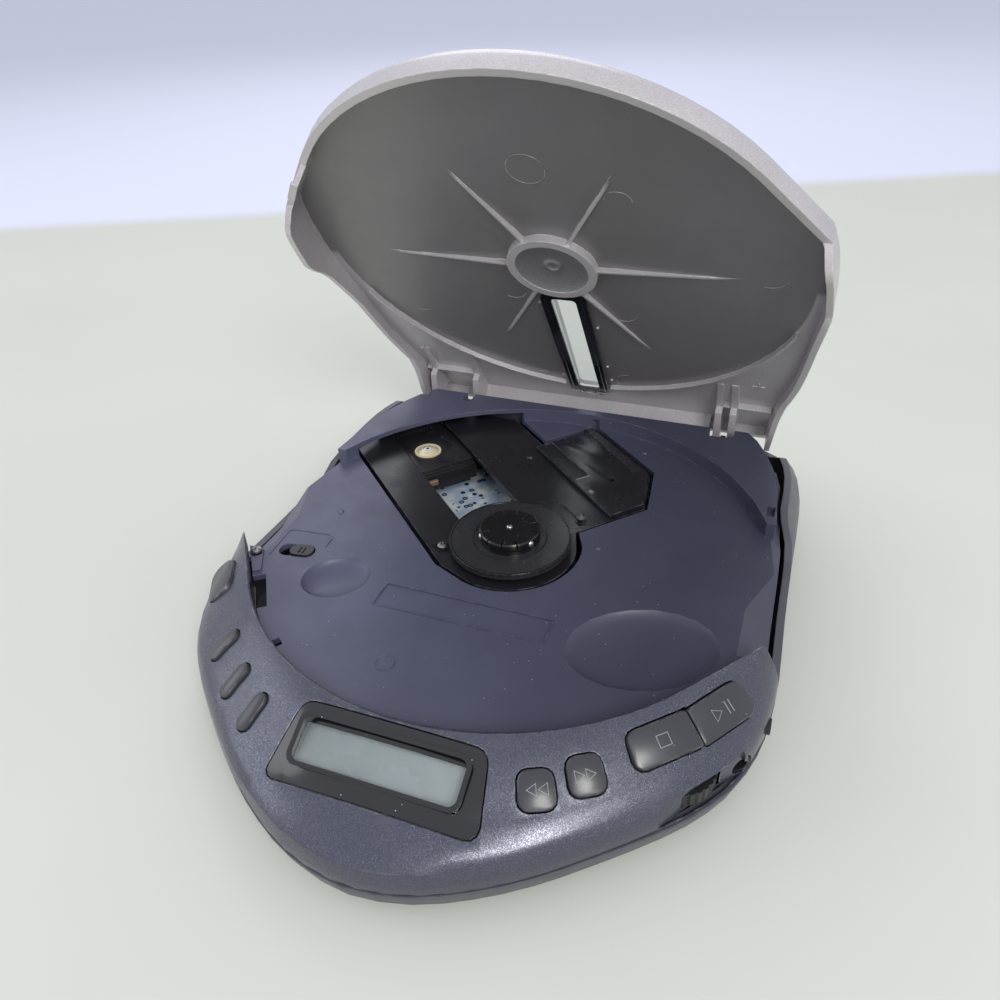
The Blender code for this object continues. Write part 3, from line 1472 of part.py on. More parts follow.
def make_controls():
    centre = Matrix.Translation((wheel_x, wheel_y, 0))
    hole = arc(wheel_bore, 0, 337.5, 16)
    add("volume_wheel", plate(wheel_outline(), wheel_bottom, wheel_bottom + wheel_thick, holes=(hole,)), "key", centre)
    post = wheel_bore - running
    profile = [
        (0, volume_control_bottom), (volume_control_radius, volume_control_bottom),
        (volume_control_radius, volume_control_top), (post, volume_control_top), (post, volume_post_top),
        (0, volume_post_top),
    ]
    add("volume_control", turned(profile, 24), "black", centre)
    # Hold switch, at the right end of its slot
    shift = (hold["long"] - hold["knob"]) / 2 - gap
    frame = Matrix.Translation((hold["x"], hold["y"], 0)) @ Matrix.Rotation(math.radians(hold["turn"]), 4, "Z")
    frame = frame @ Matrix.Translation((shift, 0, 0))
    knob_half, side_half = hold["knob"] / 2, hold["wide"] / 2 - gap
    base_top = floor_top - floor_thick - gap
    knob = plate(
        rounded_box(hold["knob"], 2 * side_half, side_half - gap), base_top - hold_base_thick / 2,
        floor_top + hold_knob_rise,
    )
    switch = add("hold_switch", knob, "black", frame)
    low = (-knob_half - hold_base_rim, -side_half - hold_base_rim, base_top - hold_base_thick)
    fuse(switch, box(low, (knob_half + hold_base_rim, side_half + hold_base_rim, base_top)))
    # Side switch, at the front end of its slot
    side = slot_switch
    shift = -(side["long"] - side["knob"]) / 2 + gap
    frame = Matrix.Translation((side["x"], side["y"] + shift, side["z"]))
    half, high = side["knob"] / 2, side["high"] / 2 - gap
    low = (gap - slot_switch_deep, -half, -high)
    add("side_switch", box(low, (slot_switch_rise, half, high)), "black", frame)


def make_sockets():
    profile = [(jack_bore, -jack_long), (jack_outer, -jack_long), (jack_outer, -gap), (jack_bore, -gap)]
    add("phones_jack", turned(profile, 24), "black", jack_frame())
    back = -socket_long + socket_back
    for name, x, bore, pin in (("dc_jack", dc_place, dc_bore, dc_pin), ("line_jack", line_place, jack_bore, 0)):
        profile = [(0, -socket_long), (socket_outer, -socket_long), (socket_outer, 0), (bore, 0), (bore, back)]
        profile += [(pin, back), (pin, -socket_back)] if pin else []
        profile += [(0, -socket_back if pin else back)]
        add(name, turned(profile, 24), "black", along(90, x, rear_reach - overlap, socket_height))


# Battery bay and feet

def make_battery_parts():
    axis_y = bay_front + door_axis_in
    frame = Matrix.Translation((0, axis_y, door_barrel))
    half = bay_half - door_side_gap
    rear = bay_rear - gap - axis_y
    top = door_thick - door_barrel
    start = math.degrees(math.asin(top / door_barrel))
    outline = [(rear, -door_barrel), (rear, top)] + arc(door_barrel, start, 270, 13)
    door = add("battery_door", side_plate(outline, -half, half), "case", frame)
    reach = bay_half + bay_wall - 2 * gap
    fuse(door, moved(drum(door_pin, -reach, reach, sides=12), along(0, 0, 0, 0)))
    grip = door_grip
    x, y = grip["long"] / 2, rear - grip["wide"] * 2
    low = (-x, y, -door_barrel - overrun)
    cut(door, box(low, (x, y + grip["wide"], grip["depth"] - door_barrel)))
    # Contacts
    wall = bay_half - gap
    face = wall - contact_thick
    first, last = front_cell - contact_half, rear_cell + contact_half
    bridge = add("bridge_contact", box((-wall, first, contact_bottom), (-face, last, contact_top)), "steel")
    fuse(bridge, coil(-face - contact_thick / 2, front_cell, 1))
    middle = contact_half - gap
    low = (face, rear_cell - middle, contact_bottom)
    minus = add("minus_contact", box(low, (wall, rear_cell + middle, contact_top)), "steel")
    fuse(minus, coil(face + contact_thick / 2, rear_cell, -1))
    low = (face, front_cell - middle, contact_bottom)
    plus = add("plus_contact", box(low, (wall, front_cell + middle, contact_top)), "steel")
    height = (contact_bottom + contact_top) / 2
    stud = drum(button_radius, 0, button_rise + contact_thick / 2, sides=20)
    fuse(plus, moved(stud, along(180, face + contact_thick / 2, front_cell, height)))


def coil(x, y, way):
    height = (contact_bottom + contact_top) / 2
    points = []
    steps = coil_turns * coil_steps
    for step in range(steps + 1):
        share = step / steps
        a, b = at(coil_base + (coil_tip - coil_base) * share, share * coil_turns * 360)
        points.append((x + way * share * coil_long, y + a, height + b))
    return wire(points, coil_wire)


def make_feet():
    for number, (x, y) in enumerate(foot_places, 1):
        foot = drum(foot_radius, -foot_drop, foot_recess - gap, sides=24)
        add("foot_" + str(number), foot, "rubber", Matrix.Translation((x, y, 0)))


def make_latch():
    frame = Matrix.Rotation(math.radians(catch_angle), 4, "Z")
    low = (latch_inner, latch_left, latch_bottom)
    add("latch_slider", box(low, (latch_outer, latch_right, latch_top)), "nylon", frame)


make_bottom_case()
make_front_panel()
make_disc_well()
make_lid()
make_window()
make_hinge_pins()
make_chassis()
make_cover()
make_turntable()
make_pickup()
make_drive()
for number, (u, v) in enumerate(deck_screw_places, 1):
    make_screw("deck_screw_" + str(number), *deck_place(u, v), deck_top + gap)
make_screw("latch_screw", *latch_screw_place, latch_screw_seat + gap)
make_dampers()
make_boards()
make_display()
for key_name in keys:
    make_key(key_name)
make_controls()
make_sockets()
make_battery_parts()
make_feet()
make_latch()
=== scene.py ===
import json
import math
import bpy
from mathutils import Matrix, Vector

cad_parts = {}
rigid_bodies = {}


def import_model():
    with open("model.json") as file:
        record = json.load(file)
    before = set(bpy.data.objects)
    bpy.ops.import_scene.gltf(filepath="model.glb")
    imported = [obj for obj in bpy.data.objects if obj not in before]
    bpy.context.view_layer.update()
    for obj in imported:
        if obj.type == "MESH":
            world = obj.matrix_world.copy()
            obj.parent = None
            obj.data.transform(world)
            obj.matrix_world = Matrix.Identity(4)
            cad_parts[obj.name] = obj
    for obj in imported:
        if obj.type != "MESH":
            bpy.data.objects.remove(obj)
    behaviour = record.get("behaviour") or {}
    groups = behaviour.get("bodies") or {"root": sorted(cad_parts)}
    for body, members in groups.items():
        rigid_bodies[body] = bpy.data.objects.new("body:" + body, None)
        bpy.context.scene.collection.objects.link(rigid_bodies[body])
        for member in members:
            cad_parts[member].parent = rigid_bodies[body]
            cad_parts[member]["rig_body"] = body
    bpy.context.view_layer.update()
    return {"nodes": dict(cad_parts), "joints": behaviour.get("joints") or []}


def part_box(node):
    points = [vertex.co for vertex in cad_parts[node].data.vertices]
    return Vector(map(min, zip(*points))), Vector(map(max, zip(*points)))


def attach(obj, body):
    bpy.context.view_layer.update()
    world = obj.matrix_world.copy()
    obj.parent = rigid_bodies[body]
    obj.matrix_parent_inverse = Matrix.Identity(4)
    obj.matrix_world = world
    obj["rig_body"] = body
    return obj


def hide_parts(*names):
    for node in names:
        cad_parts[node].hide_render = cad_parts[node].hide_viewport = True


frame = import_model()
nodes = frame["nodes"]
jointPlace = {joint["name"]: joint for joint in frame["joints"]}

# Camera, floor and light, as in the photo
shot = dict(azimuth=22.151, elevation=34.568, roll=-2.672,
            place=(0.059278, -0.150993, 0.143658), focal=29.997, sensor=36.0, nearest=0.01)
room = dict(floorDrop=-0.0005, floorHalf=6.0, floorColor=(0.60, 0.615, 0.555),
            cloudShade=(0.98, 1.02), wallColor=(0.72, 0.73, 0.86), wallWay=(-0.412, 0.911),
            wallFar=0.373, wallSoft=0.02, rough=0.75, grainScale=1500, grain=0.00001)
lamps = {
    "keyPanel": dict(place=(0.50, -0.62, 0.70), aim=(0.0, -0.03, 0.02), size=0.42, power=6.2,
                     color=(1.0, 0.99, 0.97)),
    "rearPanel": dict(place=(-0.30, 0.75, 0.70), aim=(0.0, 0.0, 0.05), size=0.70, power=2.0,
                      color=(0.93, 0.95, 1.0)),
    "leftPanel": dict(place=(-0.85, -0.25, 0.45), aim=(0.0, 0.0, 0.03), size=0.60, power=1.5,
                      color=(0.93, 0.95, 1.0)),
}
air = dict(color=(0.90, 0.93, 1.0), strength=0.78)


def newObject(name, data):
    made = bpy.data.objects.new(name, data)
    bpy.context.scene.collection.objects.link(made)
    return made


def makeCamera():
    azimuth, elevation, roll = (math.radians(shot[key]) for key in ("azimuth", "elevation", "roll"))
    back = Vector((math.sin(azimuth) * math.cos(elevation),
                   -math.cos(azimuth) * math.cos(elevation), math.sin(elevation)))
    right = Vector((math.cos(azimuth), math.sin(azimuth), 0))
    up = back.cross(right)
    across = math.cos(roll) * right + math.sin(roll) * up
    upward = -math.sin(roll) * right + math.cos(roll) * up
    data = bpy.data.cameras.new("shotCamera")
    data.sensor_width = shot["sensor"]
    data.lens = shot["focal"]
    data.clip_start = shot["nearest"]
    camera = newObject("shotCamera", data)
    turn = Matrix((across, upward, back)).transposed().to_4x4()
    camera.matrix_world = Matrix.Translation(shot["place"]) @ turn
    bpy.context.scene.camera = camera


def makeLamp(name, spec):
    data = bpy.data.lights.new(name, "AREA")
    data.shape = "DISK"
    data.size = spec["size"]
    data.energy = spec["power"]
    data.color = spec["color"]
    lamp = newObject(name, data)
    lamp.location = spec["place"]
    way = Vector(spec["aim"]) - Vector(spec["place"])
    lamp.rotation_euler = way.to_track_quat("-Z", "Y").to_euler()


def makeAir():
    world = bpy.data.worlds.new("roomAir")
    bpy.context.scene.world = world
    world.use_nodes = True
    plain = world.node_tree.nodes["Background"]
    plain.inputs["Color"].default_value = (*air["color"], 1)
    plain.inputs["Strength"].default_value = air["strength"]


makeCamera()
makeAir()
for lampName, lampSpec in lamps.items():
    makeLamp(lampName, lampSpec)
bpy.context.scene.view_settings.view_transform = "Standard"
print("camera and light are up")

# Noise patterns: scale, detail, and the two noise levels between which a share goes from 0 to 1
patterns = dict(
    floorCloud=(9, 3, 0.3, 0.7), plasticCloud=(55, 3, 0.3, 0.7), paintCloud=(40, 3, 0.3, 0.7),
    acrossCloud=(38, 2, 0.2, 0.8), lidCloud=(45, 3, 0.3, 0.7), boardCloud=(260, 3, 0.42, 0.60),
    plasticWear=(420, 4, 0.45, 0.62), paintWear=(380, 4, 0.48, 0.66),
    plasticGloss=(130, 4, 0.3, 0.75), paintGloss=(150, 4, 0.3, 0.75),
    metalGloss=(500, 3, 0.3, 0.7), clearGloss=(300, 4, 0.35, 0.7), opticGloss=(600, 2, 0.3, 0.7))


def lighter(color, share):
    return tuple(min(channel * share, 1.0) for channel in color)


class Finish:
    # A material's node tree with short ways to add to it
    def __init__(self, name):
        self.material = bpy.data.materials.new(name)
        self.material.use_nodes = True
        self.tree = self.material.node_tree
        self.shader = self.tree.nodes["Principled BSDF"]
        self.place = self.add("ShaderNodeTexCoord").outputs["Object"]

    def add(self, kind, inputs=None, **settings):
        node = self.tree.nodes.new(kind)
        for key, value in settings.items():
            setattr(node, key, value)
        for key, value in (inputs or {}).items():
            node.inputs[key].default_value = value
        return node

    def join(self, source, target):
        self.tree.links.new(source, target)

    def noise(self, scale, detail, rough=0.5):
        node = self.add("ShaderNodeTexNoise", dict(Scale=scale, Detail=detail, Roughness=rough))
        self.join(self.place, node.inputs["Vector"])
        return node.outputs["Fac"]

    def cells(self, scale, output="Distance", randomness=1.0):
        node = self.add("ShaderNodeTexVoronoi", dict(Scale=scale, Randomness=randomness))
        self.join(self.place, node.inputs["Vector"])
        return node.outputs[output]

    def ramp(self, source, low, high, fromValue=0.0, toValue=1.0):
        bounds = {"From Min": low, "From Max": high, "To Min": fromValue, "To Max": toValue}
        node = self.add("ShaderNodeMapRange", bounds, clamp=True)
        self.join(source, node.inputs["Value"])
        return node.outputs["Result"]

    def pattern(self, patternName, fromValue=0.0, toValue=1.0):
        scale, detail, low, high = patterns[patternName]
        return self.ramp(self.noise(scale, detail), low, high, fromValue, toValue)

    def math(self, operation, a, b=None):
        node = self.add("ShaderNodeMath", operation=operation)
        for index, value in enumerate((a, b)):
            if value is None:
                continue
            if isinstance(value, (int, float)):
                node.inputs[index].default_value = value
            else:
                self.join(value, node.inputs[index])
        return node.outputs[0]

    def blend(self, share, a, b):
        node = self.add("ShaderNodeMix", data_type="RGBA")
        self.join(share, node.inputs["Factor"])
        for key, value in (("A", a), ("B", b)):
            socket = [s for s in node.inputs if s.name == key and s.type == "RGBA"][0]
            if isinstance(value, tuple):
                socket.default_value = (*value, 1)
            else:
                self.join(value, socket)
        return [s for s in node.outputs if s.type == "RGBA"][0]

    def shades(self, share, color, bounds):
        # One colour, a little darker and lighter from place to place
        return self.blend(share, lighter(color, bounds[0]), lighter(color, bounds[1]))

    def moved(self, location, rotation=(0, 0, 0)):
        moves = dict(Location=location, Rotation=rotation)
        node = self.add("ShaderNodeMapping", moves, vector_type="TEXTURE")
        self.join(self.place, node.inputs["Vector"])
        return node.outputs["Vector"]

    def axes(self, place=None):
        node = self.add("ShaderNodeSeparateXYZ")
        self.join(place or self.place, node.inputs["Vector"])
        return node.outputs

    def away(self, x, y):
        # Distance from the Z axis
        squares = self.math("ADD", self.math("POWER", x, 2.0), self.math("POWER", y, 2.0))
        return self.math("SQRT", squares)

    def relief(self, heights, edge=0.0):
        # heights: (signal, depth in metres) from the coarsest to the finest
        last = self.softNormal(edge) if edge else None
        for signal, depth in heights:
            bump = self.add("ShaderNodeBump", dict(Strength=1.0, Distance=depth))
            self.join(signal, bump.inputs["Height"])
            if last:
                self.join(last, bump.inputs["Normal"])
            last = bump.outputs["Normal"]
        self.join(last, self.shader.inputs["Normal"])

    def softNormal(self, reach):
        return self.add("ShaderNodeBevel", dict(Radius=reach), samples=4).outputs["Normal"]

    def color(self, value):
        self.join(value, self.shader.inputs["Base Color"])

    def gloss(self, patternName, low, high):
        self.join(self.pattern(patternName, low, high), self.shader.inputs["Roughness"])

    def fixed(self, **values):
        for key, value in values.items():
            self.shader.inputs[key.replace("_", " ")].default_value = value


# Wear, painted edge highlights and dust that the finishes share
edgeTurn = dict(sharp=0.80, flat=0.985)
dust = dict(color=(0.42, 0.43, 0.46), dot=(0.05, 0.09), spread=0.4, few=(0.54, 0.62))


def edgeShare(made, reach):
    # How far the rounded normal turns away from the true one: near 1 at sharp edges
    soft = made.softNormal(reach)
    true = made.add("ShaderNodeNewGeometry").outputs["Normal"]
    dot = made.add("ShaderNodeVectorMath", operation="DOT_PRODUCT")
    made.join(soft, dot.inputs[0])
    made.join(true, dot.inputs[1])
    return made.ramp(dot.outputs["Value"], edgeTurn["sharp"], edgeTurn["flat"], 1.0, 0.0)


def wornAndLitEdges(made, base, reach, patternName, share, color):
    # Paler patches along the edges: rubbed wear, and painted highlight where edges catch the light
    patchy = made.math("MULTIPLY", edgeShare(made, reach), made.pattern(patternName))
    return made.blend(made.math("MULTIPLY", patchy, share), base, color)


def dusty(made, base, share, scale, color=dust["color"]):
    # A few specks of dust
    dots = made.ramp(made.cells(scale), *dust["dot"], 1.0, 0.0)
    few = made.ramp(made.noise(scale * dust["spread"], detail=1), *dust["few"])
    mask = made.math("MULTIPLY", dots, few)
    return made.blend(made.math("MULTIPLY", mask, share), base, color)


# What every moulded finish has, unless its own entry says otherwise
plastic = dict(cloudShade=(0.88, 1.12), smoother=0.06, rougher=0.08, grainScale=4200,
               grain=0.000012, grainRough=0.6, wearEdge=0.0006, wearShade=2.2,
               specks=0.0, speckScale=620, wear=0.0, edge=0.0, metal=0.0, coat=0.0,
               coatRough=0.2, across=None)


def moulded(name, spec):
    # Moulded plastic: cloudy colour, fine grain, dust specks, pale edges that are both rubbed wear
    # and painted highlight, and painted shade along X where asked
    spec = {**plastic, **spec}
    made = Finish(name)
    color, rough = spec["color"], spec["rough"]
    base = made.shades(made.pattern("plasticCloud"), color, spec["cloudShade"])
    # Painted shade where a finish asks for it: the colour darkens along X
    if spec["across"]:
        base = made.blend(sideShadeShare(made, spec["across"]), base, spec["across"]["color"])
    if spec["specks"]:
        base = dusty(made, base, spec["specks"], spec["speckScale"])
    if spec["wear"]:
        wearColor = spec.get("wearColor", lighter(color, spec["wearShade"]))
        base = wornAndLitEdges(made, base, spec["wearEdge"], "plasticWear", spec["wear"], wearColor)
    made.color(base)
    made.gloss("plasticGloss", rough - spec["smoother"], rough + spec["rougher"])
    grain = made.noise(spec["grainScale"], detail=2, rough=spec["grainRough"])
    made.relief([(grain, spec["grain"])], spec["edge"])
    made.fixed(Metallic=spec["metal"])
    if spec["coat"]:
        made.fixed(Coat_Weight=spec["coat"], Coat_Roughness=spec["coatRough"])
    return made.material


def sideShadeShare(made, spec):
    # Painted shade: share of a darker second colour, which comes in along X, so one side is painted
    # lighter and the other shaded
    along = made.ramp(made.axes()["X"], spec["low"], spec["high"])
    return made.math("MULTIPLY", along, made.pattern("acrossCloud", spec["least"], 1.0))


# The same for metallic paint
paint = dict(cloudShade=(0.94, 1.06), glintSoft=0.02, glintMetal=0.95, speckShare=0.35,
             speckScale=700, speckColor=(0.5, 0.5, 0.52), wear=0.5, wearColor=(0.5, 0.5, 0.5),
             wearEdge=0.0005, smoother=0.05, rougher=0.07, edge=0.0003, coat=0.25, coatRough=0.25,
             glint=0.0, inside=None)


def flakePaint(name, spec):
    # Metallic paint: each flake has its own brightness and tilt
    spec = {**paint, **spec}
    made = Finish(name)
    apart = made.add("ShaderNodeSeparateColor")
    made.join(made.cells(spec["flakeScale"], "Color"), apart.inputs["Color"])
    contrast = spec["flakeContrast"]
    bright = made.ramp(apart.outputs["Red"], 0.0, 1.0, 1 - contrast, 1 + contrast)
    level = made.math("MULTIPLY", bright, made.pattern("paintCloud", *spec["cloudShade"]))
    scale = made.add("ShaderNodeVectorMath", {0: spec["color"]}, operation="SCALE")
    made.join(level, scale.inputs["Scale"])
    base = scale.outputs["Vector"]
    made.fixed(Metallic=spec["metal"], Coat_Weight=spec["coat"], Coat_Roughness=spec["coatRough"])
    if spec["glint"]:
        start = 1 - spec["glint"]
        glints = made.ramp(apart.outputs["Blue"], start, start + spec["glintSoft"])
        base = made.blend(glints, base, spec["glintColor"])
        metal = made.math("MULTIPLY", glints, spec["glintMetal"])
        metal = made.math("MAXIMUM", metal, spec["metal"])
        made.join(metal, made.shader.inputs["Metallic"])
    if spec["inside"]:
        base = spec["inside"](made, base)
    base = dusty(made, base, spec["speckShare"], spec["speckScale"], spec["speckColor"])
    made.color(wornAndLitEdges(made, base, spec["wearEdge"], "paintWear", spec["wear"], spec["wearColor"]))
    made.gloss("paintGloss", spec["rough"] - spec["smoother"], spec["rough"] + spec["rougher"])
    made.relief([(apart.outputs["Green"], spec["flakeTilt"])], spec["edge"])
    return made.material


# Bare metal has fine streaks
bare = dict(streakScale=900, streakDetail=5, streakRough=0.7, streakLevels=(0.3, 0.7),
            streakDeep=0.000006, shade=(0.86, 1.08), smoother=0.06, rougher=0.08)


def bareMetal(name, spec):
    made = Finish(name)
    streak = made.noise(bare["streakScale"], bare["streakDetail"], bare["streakRough"])
    share = made.ramp(streak, *bare["streakLevels"])
    made.color(made.shades(share, spec["color"], bare["shade"]))
    made.gloss("metalGloss", spec["rough"] - bare["smoother"], spec["rough"] + bare["rougher"])
    made.relief([(streak, bare["streakDeep"])])
    made.fixed(Metallic=1.0)
    return made.material


def clearPlastic(name, spec):
    made = Finish(name)
    made.gloss("clearGloss", *spec["rough"])
    cloud = made.noise(spec["cloudScale"], detail=2)
    made.color(made.shades(cloud, spec["color"], spec["shade"]))
    made.relief([(made.noise(spec["waveScale"], detail=3), spec["waveDeep"])])
    made.fixed(Transmission_Weight=1.0, IOR=spec["bend"])
    return made.material


def boardPaint(name, spec):
    # Solder mask with dark round pads, each with a paler middle
    made = Finish(name)
    pads = made.cells(spec["padScale"], randomness=spec["padRandom"])
    some = made.noise(spec["padScale"] * spec["padSpread"], detail=0)
    some = made.ramp(some, *spec["padFew"])
    disc = made.ramp(pads, *spec["padEdge"], 1.0, 0.0)
    middle = made.ramp(pads, *spec["padMiddle"], spec["padMiddleShare"], 1.0)
    mask = made.math("MULTIPLY", made.math("MULTIPLY", disc, middle), some)
    base = made.blend(made.pattern("boardCloud"), spec["color"], spec["pale"])
    made.color(made.blend(mask, base, spec["pad"]))
    grain = made.noise(spec["grainScale"], detail=2)
    made.relief([(mask, spec["padHigh"]), (grain, spec["grain"])])
    made.fixed(Roughness=spec["rough"])
    return made.material


def ringedOptic(name, spec):
    # The coated lens: pale gold rings round a dark middle; the pale colour is partly the coating
    # and partly painted highlight
    made = Finish(name)
    middle = sum(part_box("objective_lens"), Vector()) / 2
    axes = made.axes(made.moved(middle))
    away = made.away(axes["X"], axes["Y"])
    base = made.blend(made.ramp(away, *spec["rim"]), spec["pale"], spec["gold"])
    apart = made.math("ABSOLUTE", made.math("SUBTRACT", away, spec["ring"]))
    ring = made.ramp(apart, *spec["ringWide"], spec["ringShare"], 0.0)
    base = made.blend(ring, base, spec["dark"])
    base = made.blend(made.ramp(away, *spec["middle"], 1.0, 0.0), base, spec["dark"])
    made.color(dusty(made, base, spec["specks"], spec["speckScale"]))
    made.gloss("opticGloss", *spec["rough"])
    made.fixed(Metallic=spec["metal"], Coat_Weight=spec["coat"], Coat_Roughness=spec["coatRough"])
    return made.material


# The lid's lining is darker than its edge, and its ribs are painted paler, a painted highlight on
# their tops; the places are those of the shut lid
lidInner = dict(left=(0.215, 0.208, 0.208), right=(0.255, 0.240, 0.245), across=(-0.05, 0.035),
                cloudMost=0.35, cloudShade=0.85, rib=(0.60, 0.57, 0.57), ribTop=0.02455,
                ribSoft=0.00015, reach=0.0598, reachSoft=0.0004, frontFrom=(0.004, 0.002),
                below=(0.0250, 0.0253), facing=(0.80, 0.92))


def lidInside(made, base):
    spec = lidInner
    turn = math.radians(jointPlace["lid_hinge"]["range_deg"][1])
    hinge = jointPlace["lid_hinge"]["pos_m"]
    x, y, z = made.axes(made.moved(hinge, (-turn, 0, 0)))
    y = made.math("ADD", y, hinge[1])
    reach = spec["reach"]
    within = made.ramp(made.away(x, y), reach, reach + spec["reachSoft"], 1.0, 0.0)
    within = made.math("MAXIMUM", within, made.ramp(y, *spec["frontFrom"]))
    down = (0, -math.sin(turn), -math.cos(turn))
    facing = made.add("ShaderNodeVectorMath", {1: down}, operation="DOT_PRODUCT")
    made.join(made.add("ShaderNodeTexCoord").outputs["Normal"], facing.inputs[0])
    low, high = (level - hinge[2] for level in spec["below"])
    below = made.math("MULTIPLY", made.ramp(z, low, high, 1.0, 0.0),
                      made.ramp(facing.outputs["Value"], *spec["facing"]))
    inner = made.blend(made.ramp(x, *spec["across"]), spec["left"], spec["right"])
    cloud = made.pattern("lidCloud", 0.0, spec["cloudMost"])
    inner = made.blend(cloud, inner, lighter(spec["right"], spec["cloudShade"]))
    # Painted highlight: the ribs below ribTop get a paler colour, standing for the light their tops
    # catch
    ribTop = spec["ribTop"] - hinge[2]
    ribs = made.ramp(z, ribTop, ribTop + spec["ribSoft"], 1.0, 0.0)
    inner = made.blend(ribs, inner, spec["rib"])
    return made.blend(made.math("MULTIPLY", within, below), base, inner)


# The finishes: colours are linear, and grain, edges and depths are in metres
mouldedSpecs = {
    "caseFinish": dict(color=(0.075, 0.078, 0.092), rough=0.42, grain=0.00002, grainScale=3600,
                       specks=0.4, wear=0.5, edge=0.0004),
    "wellFinish": dict(color=(0.080, 0.085, 0.136), rough=0.44, grain=0.000014, grainScale=4600,
                       specks=0.9, wear=0.35, wearColor=(0.24, 0.25, 0.32), edge=0.0003,
                       # Painted shade: the well's right side is painted darker than its left
                       across=dict(low=-0.030, high=0.040, least=0.8, color=(0.038, 0.040, 0.064))),
    # The deck's pale edges are partly wear and partly painted highlight along edges that catch the
    # light
    "deckFinish": dict(color=(0.013, 0.013, 0.017), rough=0.31, grain=0.00002, grainScale=3000,
                       specks=0.9, speckScale=900, wear=0.7, wearColor=(0.15, 0.15, 0.16),
                       edge=0.0002),
    "hubFinish": dict(color=(0.008, 0.008, 0.009), rough=0.18, grain=0.000004,
                      specks=0.9, speckScale=800, edge=0.0002),
    "platterFinish": dict(color=(0.025, 0.025, 0.030), rough=0.30,
                          specks=0.9, speckScale=800, edge=0.0003),
    # The keys' pale edges are partly wear and partly painted highlight, the bright lines along
    # their edges
    "keyFinish": dict(color=(0.034, 0.035, 0.041), rough=0.34, grain=0.000010, grainScale=4600,
                      specks=0.6, wear=0.9, wearEdge=0.0005, wearColor=(0.34, 0.34, 0.36),
                      edge=0.0004, coat=0.3),
    "signFinish": dict(color=(0.22, 0.22, 0.235), rough=0.40, grain=0.000006, grainScale=5200),
    "knobFinish": dict(color=(0.016, 0.016, 0.018), rough=0.38, grain=0.00001, specks=0.5,
                       edge=0.0002),
    "glossFinish": dict(color=(0.007, 0.007, 0.009), rough=0.16, grain=0.000003, specks=0.8,
                        edge=0.0002, coat=0.6, coatRough=0.08),
    "texturedFinish": dict(color=(0.020, 0.020, 0.023), rough=0.30, grain=0.00030,
                           grainScale=1700, specks=0.9, speckScale=1100),
    "rubberFinish": dict(color=(0.022, 0.022, 0.023), rough=0.78, grain=0.00003, grainScale=2600),
    "nylonFinish": dict(color=(0.62, 0.60, 0.55), rough=0.45, grain=0.000008),
    "darkPartFinish": dict(color=(0.012, 0.011, 0.013), rough=0.36, specks=0.6, wear=0.5,
                           wearEdge=0.0003, wearColor=(0.16, 0.15, 0.16), edge=0.0002),
    "flexFinish": dict(color=(0.22, 0.075, 0.020), rough=0.30, grain=0.000006, coat=0.5),
    "holderFinish": dict(color=(0.86, 0.74, 0.50), rough=0.30, grain=0.000006, metal=0.25),
    "displayFinish": dict(color=(0.42, 0.465, 0.47), rough=0.26, grain=0.000004, specks=0.3),
}
paintSpecs = {
    "panelFinish": dict(color=(0.053, 0.058, 0.085), rough=0.28, metal=0.30, glint=0.28,
                        glintColor=(0.150, 0.150, 0.185), flakeScale=8500, flakeContrast=0.12,
                        flakeTilt=0.000018, wearColor=(0.55, 0.55, 0.58)),
    "lidFinish": dict(color=(0.54, 0.51, 0.525), rough=0.38, metal=0.45, flakeScale=8000,
                      flakeContrast=0.16, flakeTilt=0.00002, inside=lidInside, wear=0.8,
                      wearColor=(0.88, 0.86, 0.86)),
    "lidDishFinish": dict(color=(0.25, 0.24, 0.245), rough=0.36, metal=0.45, flakeScale=5200,
                          flakeContrast=0.16, flakeTilt=0.00002, wear=0.2),
}
metalSpecs = {
    "steelFinish": dict(color=(0.56, 0.56, 0.58), rough=0.28),
    "screwFinish": dict(color=(0.36, 0.35, 0.36), rough=0.34),
    "brassFinish": dict(color=(0.72, 0.54, 0.28), rough=0.30),
    "copperFinish": dict(color=(0.78, 0.52, 0.34), rough=0.34),
}
clearSpec = dict(color=(0.93, 0.95, 0.95), rough=(0.03, 0.09), shade=(0.97, 1.0), cloudScale=120,
                 waveScale=900, waveDeep=0.0000015, bend=1.47)
# The lens's pale colour is partly painted highlight
opticSpec = dict(pale=(0.92, 0.88, 0.80), gold=(0.78, 0.68, 0.46), dark=(0.05, 0.035, 0.02),
                 rim=(0.0016, 0.0017), ring=0.00125, ringWide=(0.00006, 0.00012), ringShare=0.7,
                 middle=(0.00040, 0.00050), rough=(0.10, 0.20), specks=0.3, speckScale=900,
                 metal=0.2, coat=0.6, coatRough=0.08)
boardSpec = dict(color=(0.42, 0.55, 0.72), pale=(0.72, 0.76, 0.76), pad=(0.012, 0.020, 0.06),
                 padScale=430, padRandom=0.8, padSpread=0.5, padFew=(0.44, 0.48),
                 padEdge=(0.34, 0.38), padMiddle=(0.16, 0.20), padMiddleShare=0.55,
                 padHigh=0.00004, grainScale=3000, grain=0.000004, rough=0.42)
finishes = {name: moulded(name, spec) for name, spec in mouldedSpecs.items()}
finishes.update({name: flakePaint(name, spec) for name, spec in paintSpecs.items()})
finishes.update({name: bareMetal(name, spec) for name, spec in metalSpecs.items()})
finishes["clearFinish"] = clearPlastic("clearFinish", clearSpec)
finishes["opticFinish"] = ringedOptic("opticFinish", opticSpec)
finishes["boardFinish"] = boardPaint("boardFinish", boardSpec)
print("finishes are mixed")

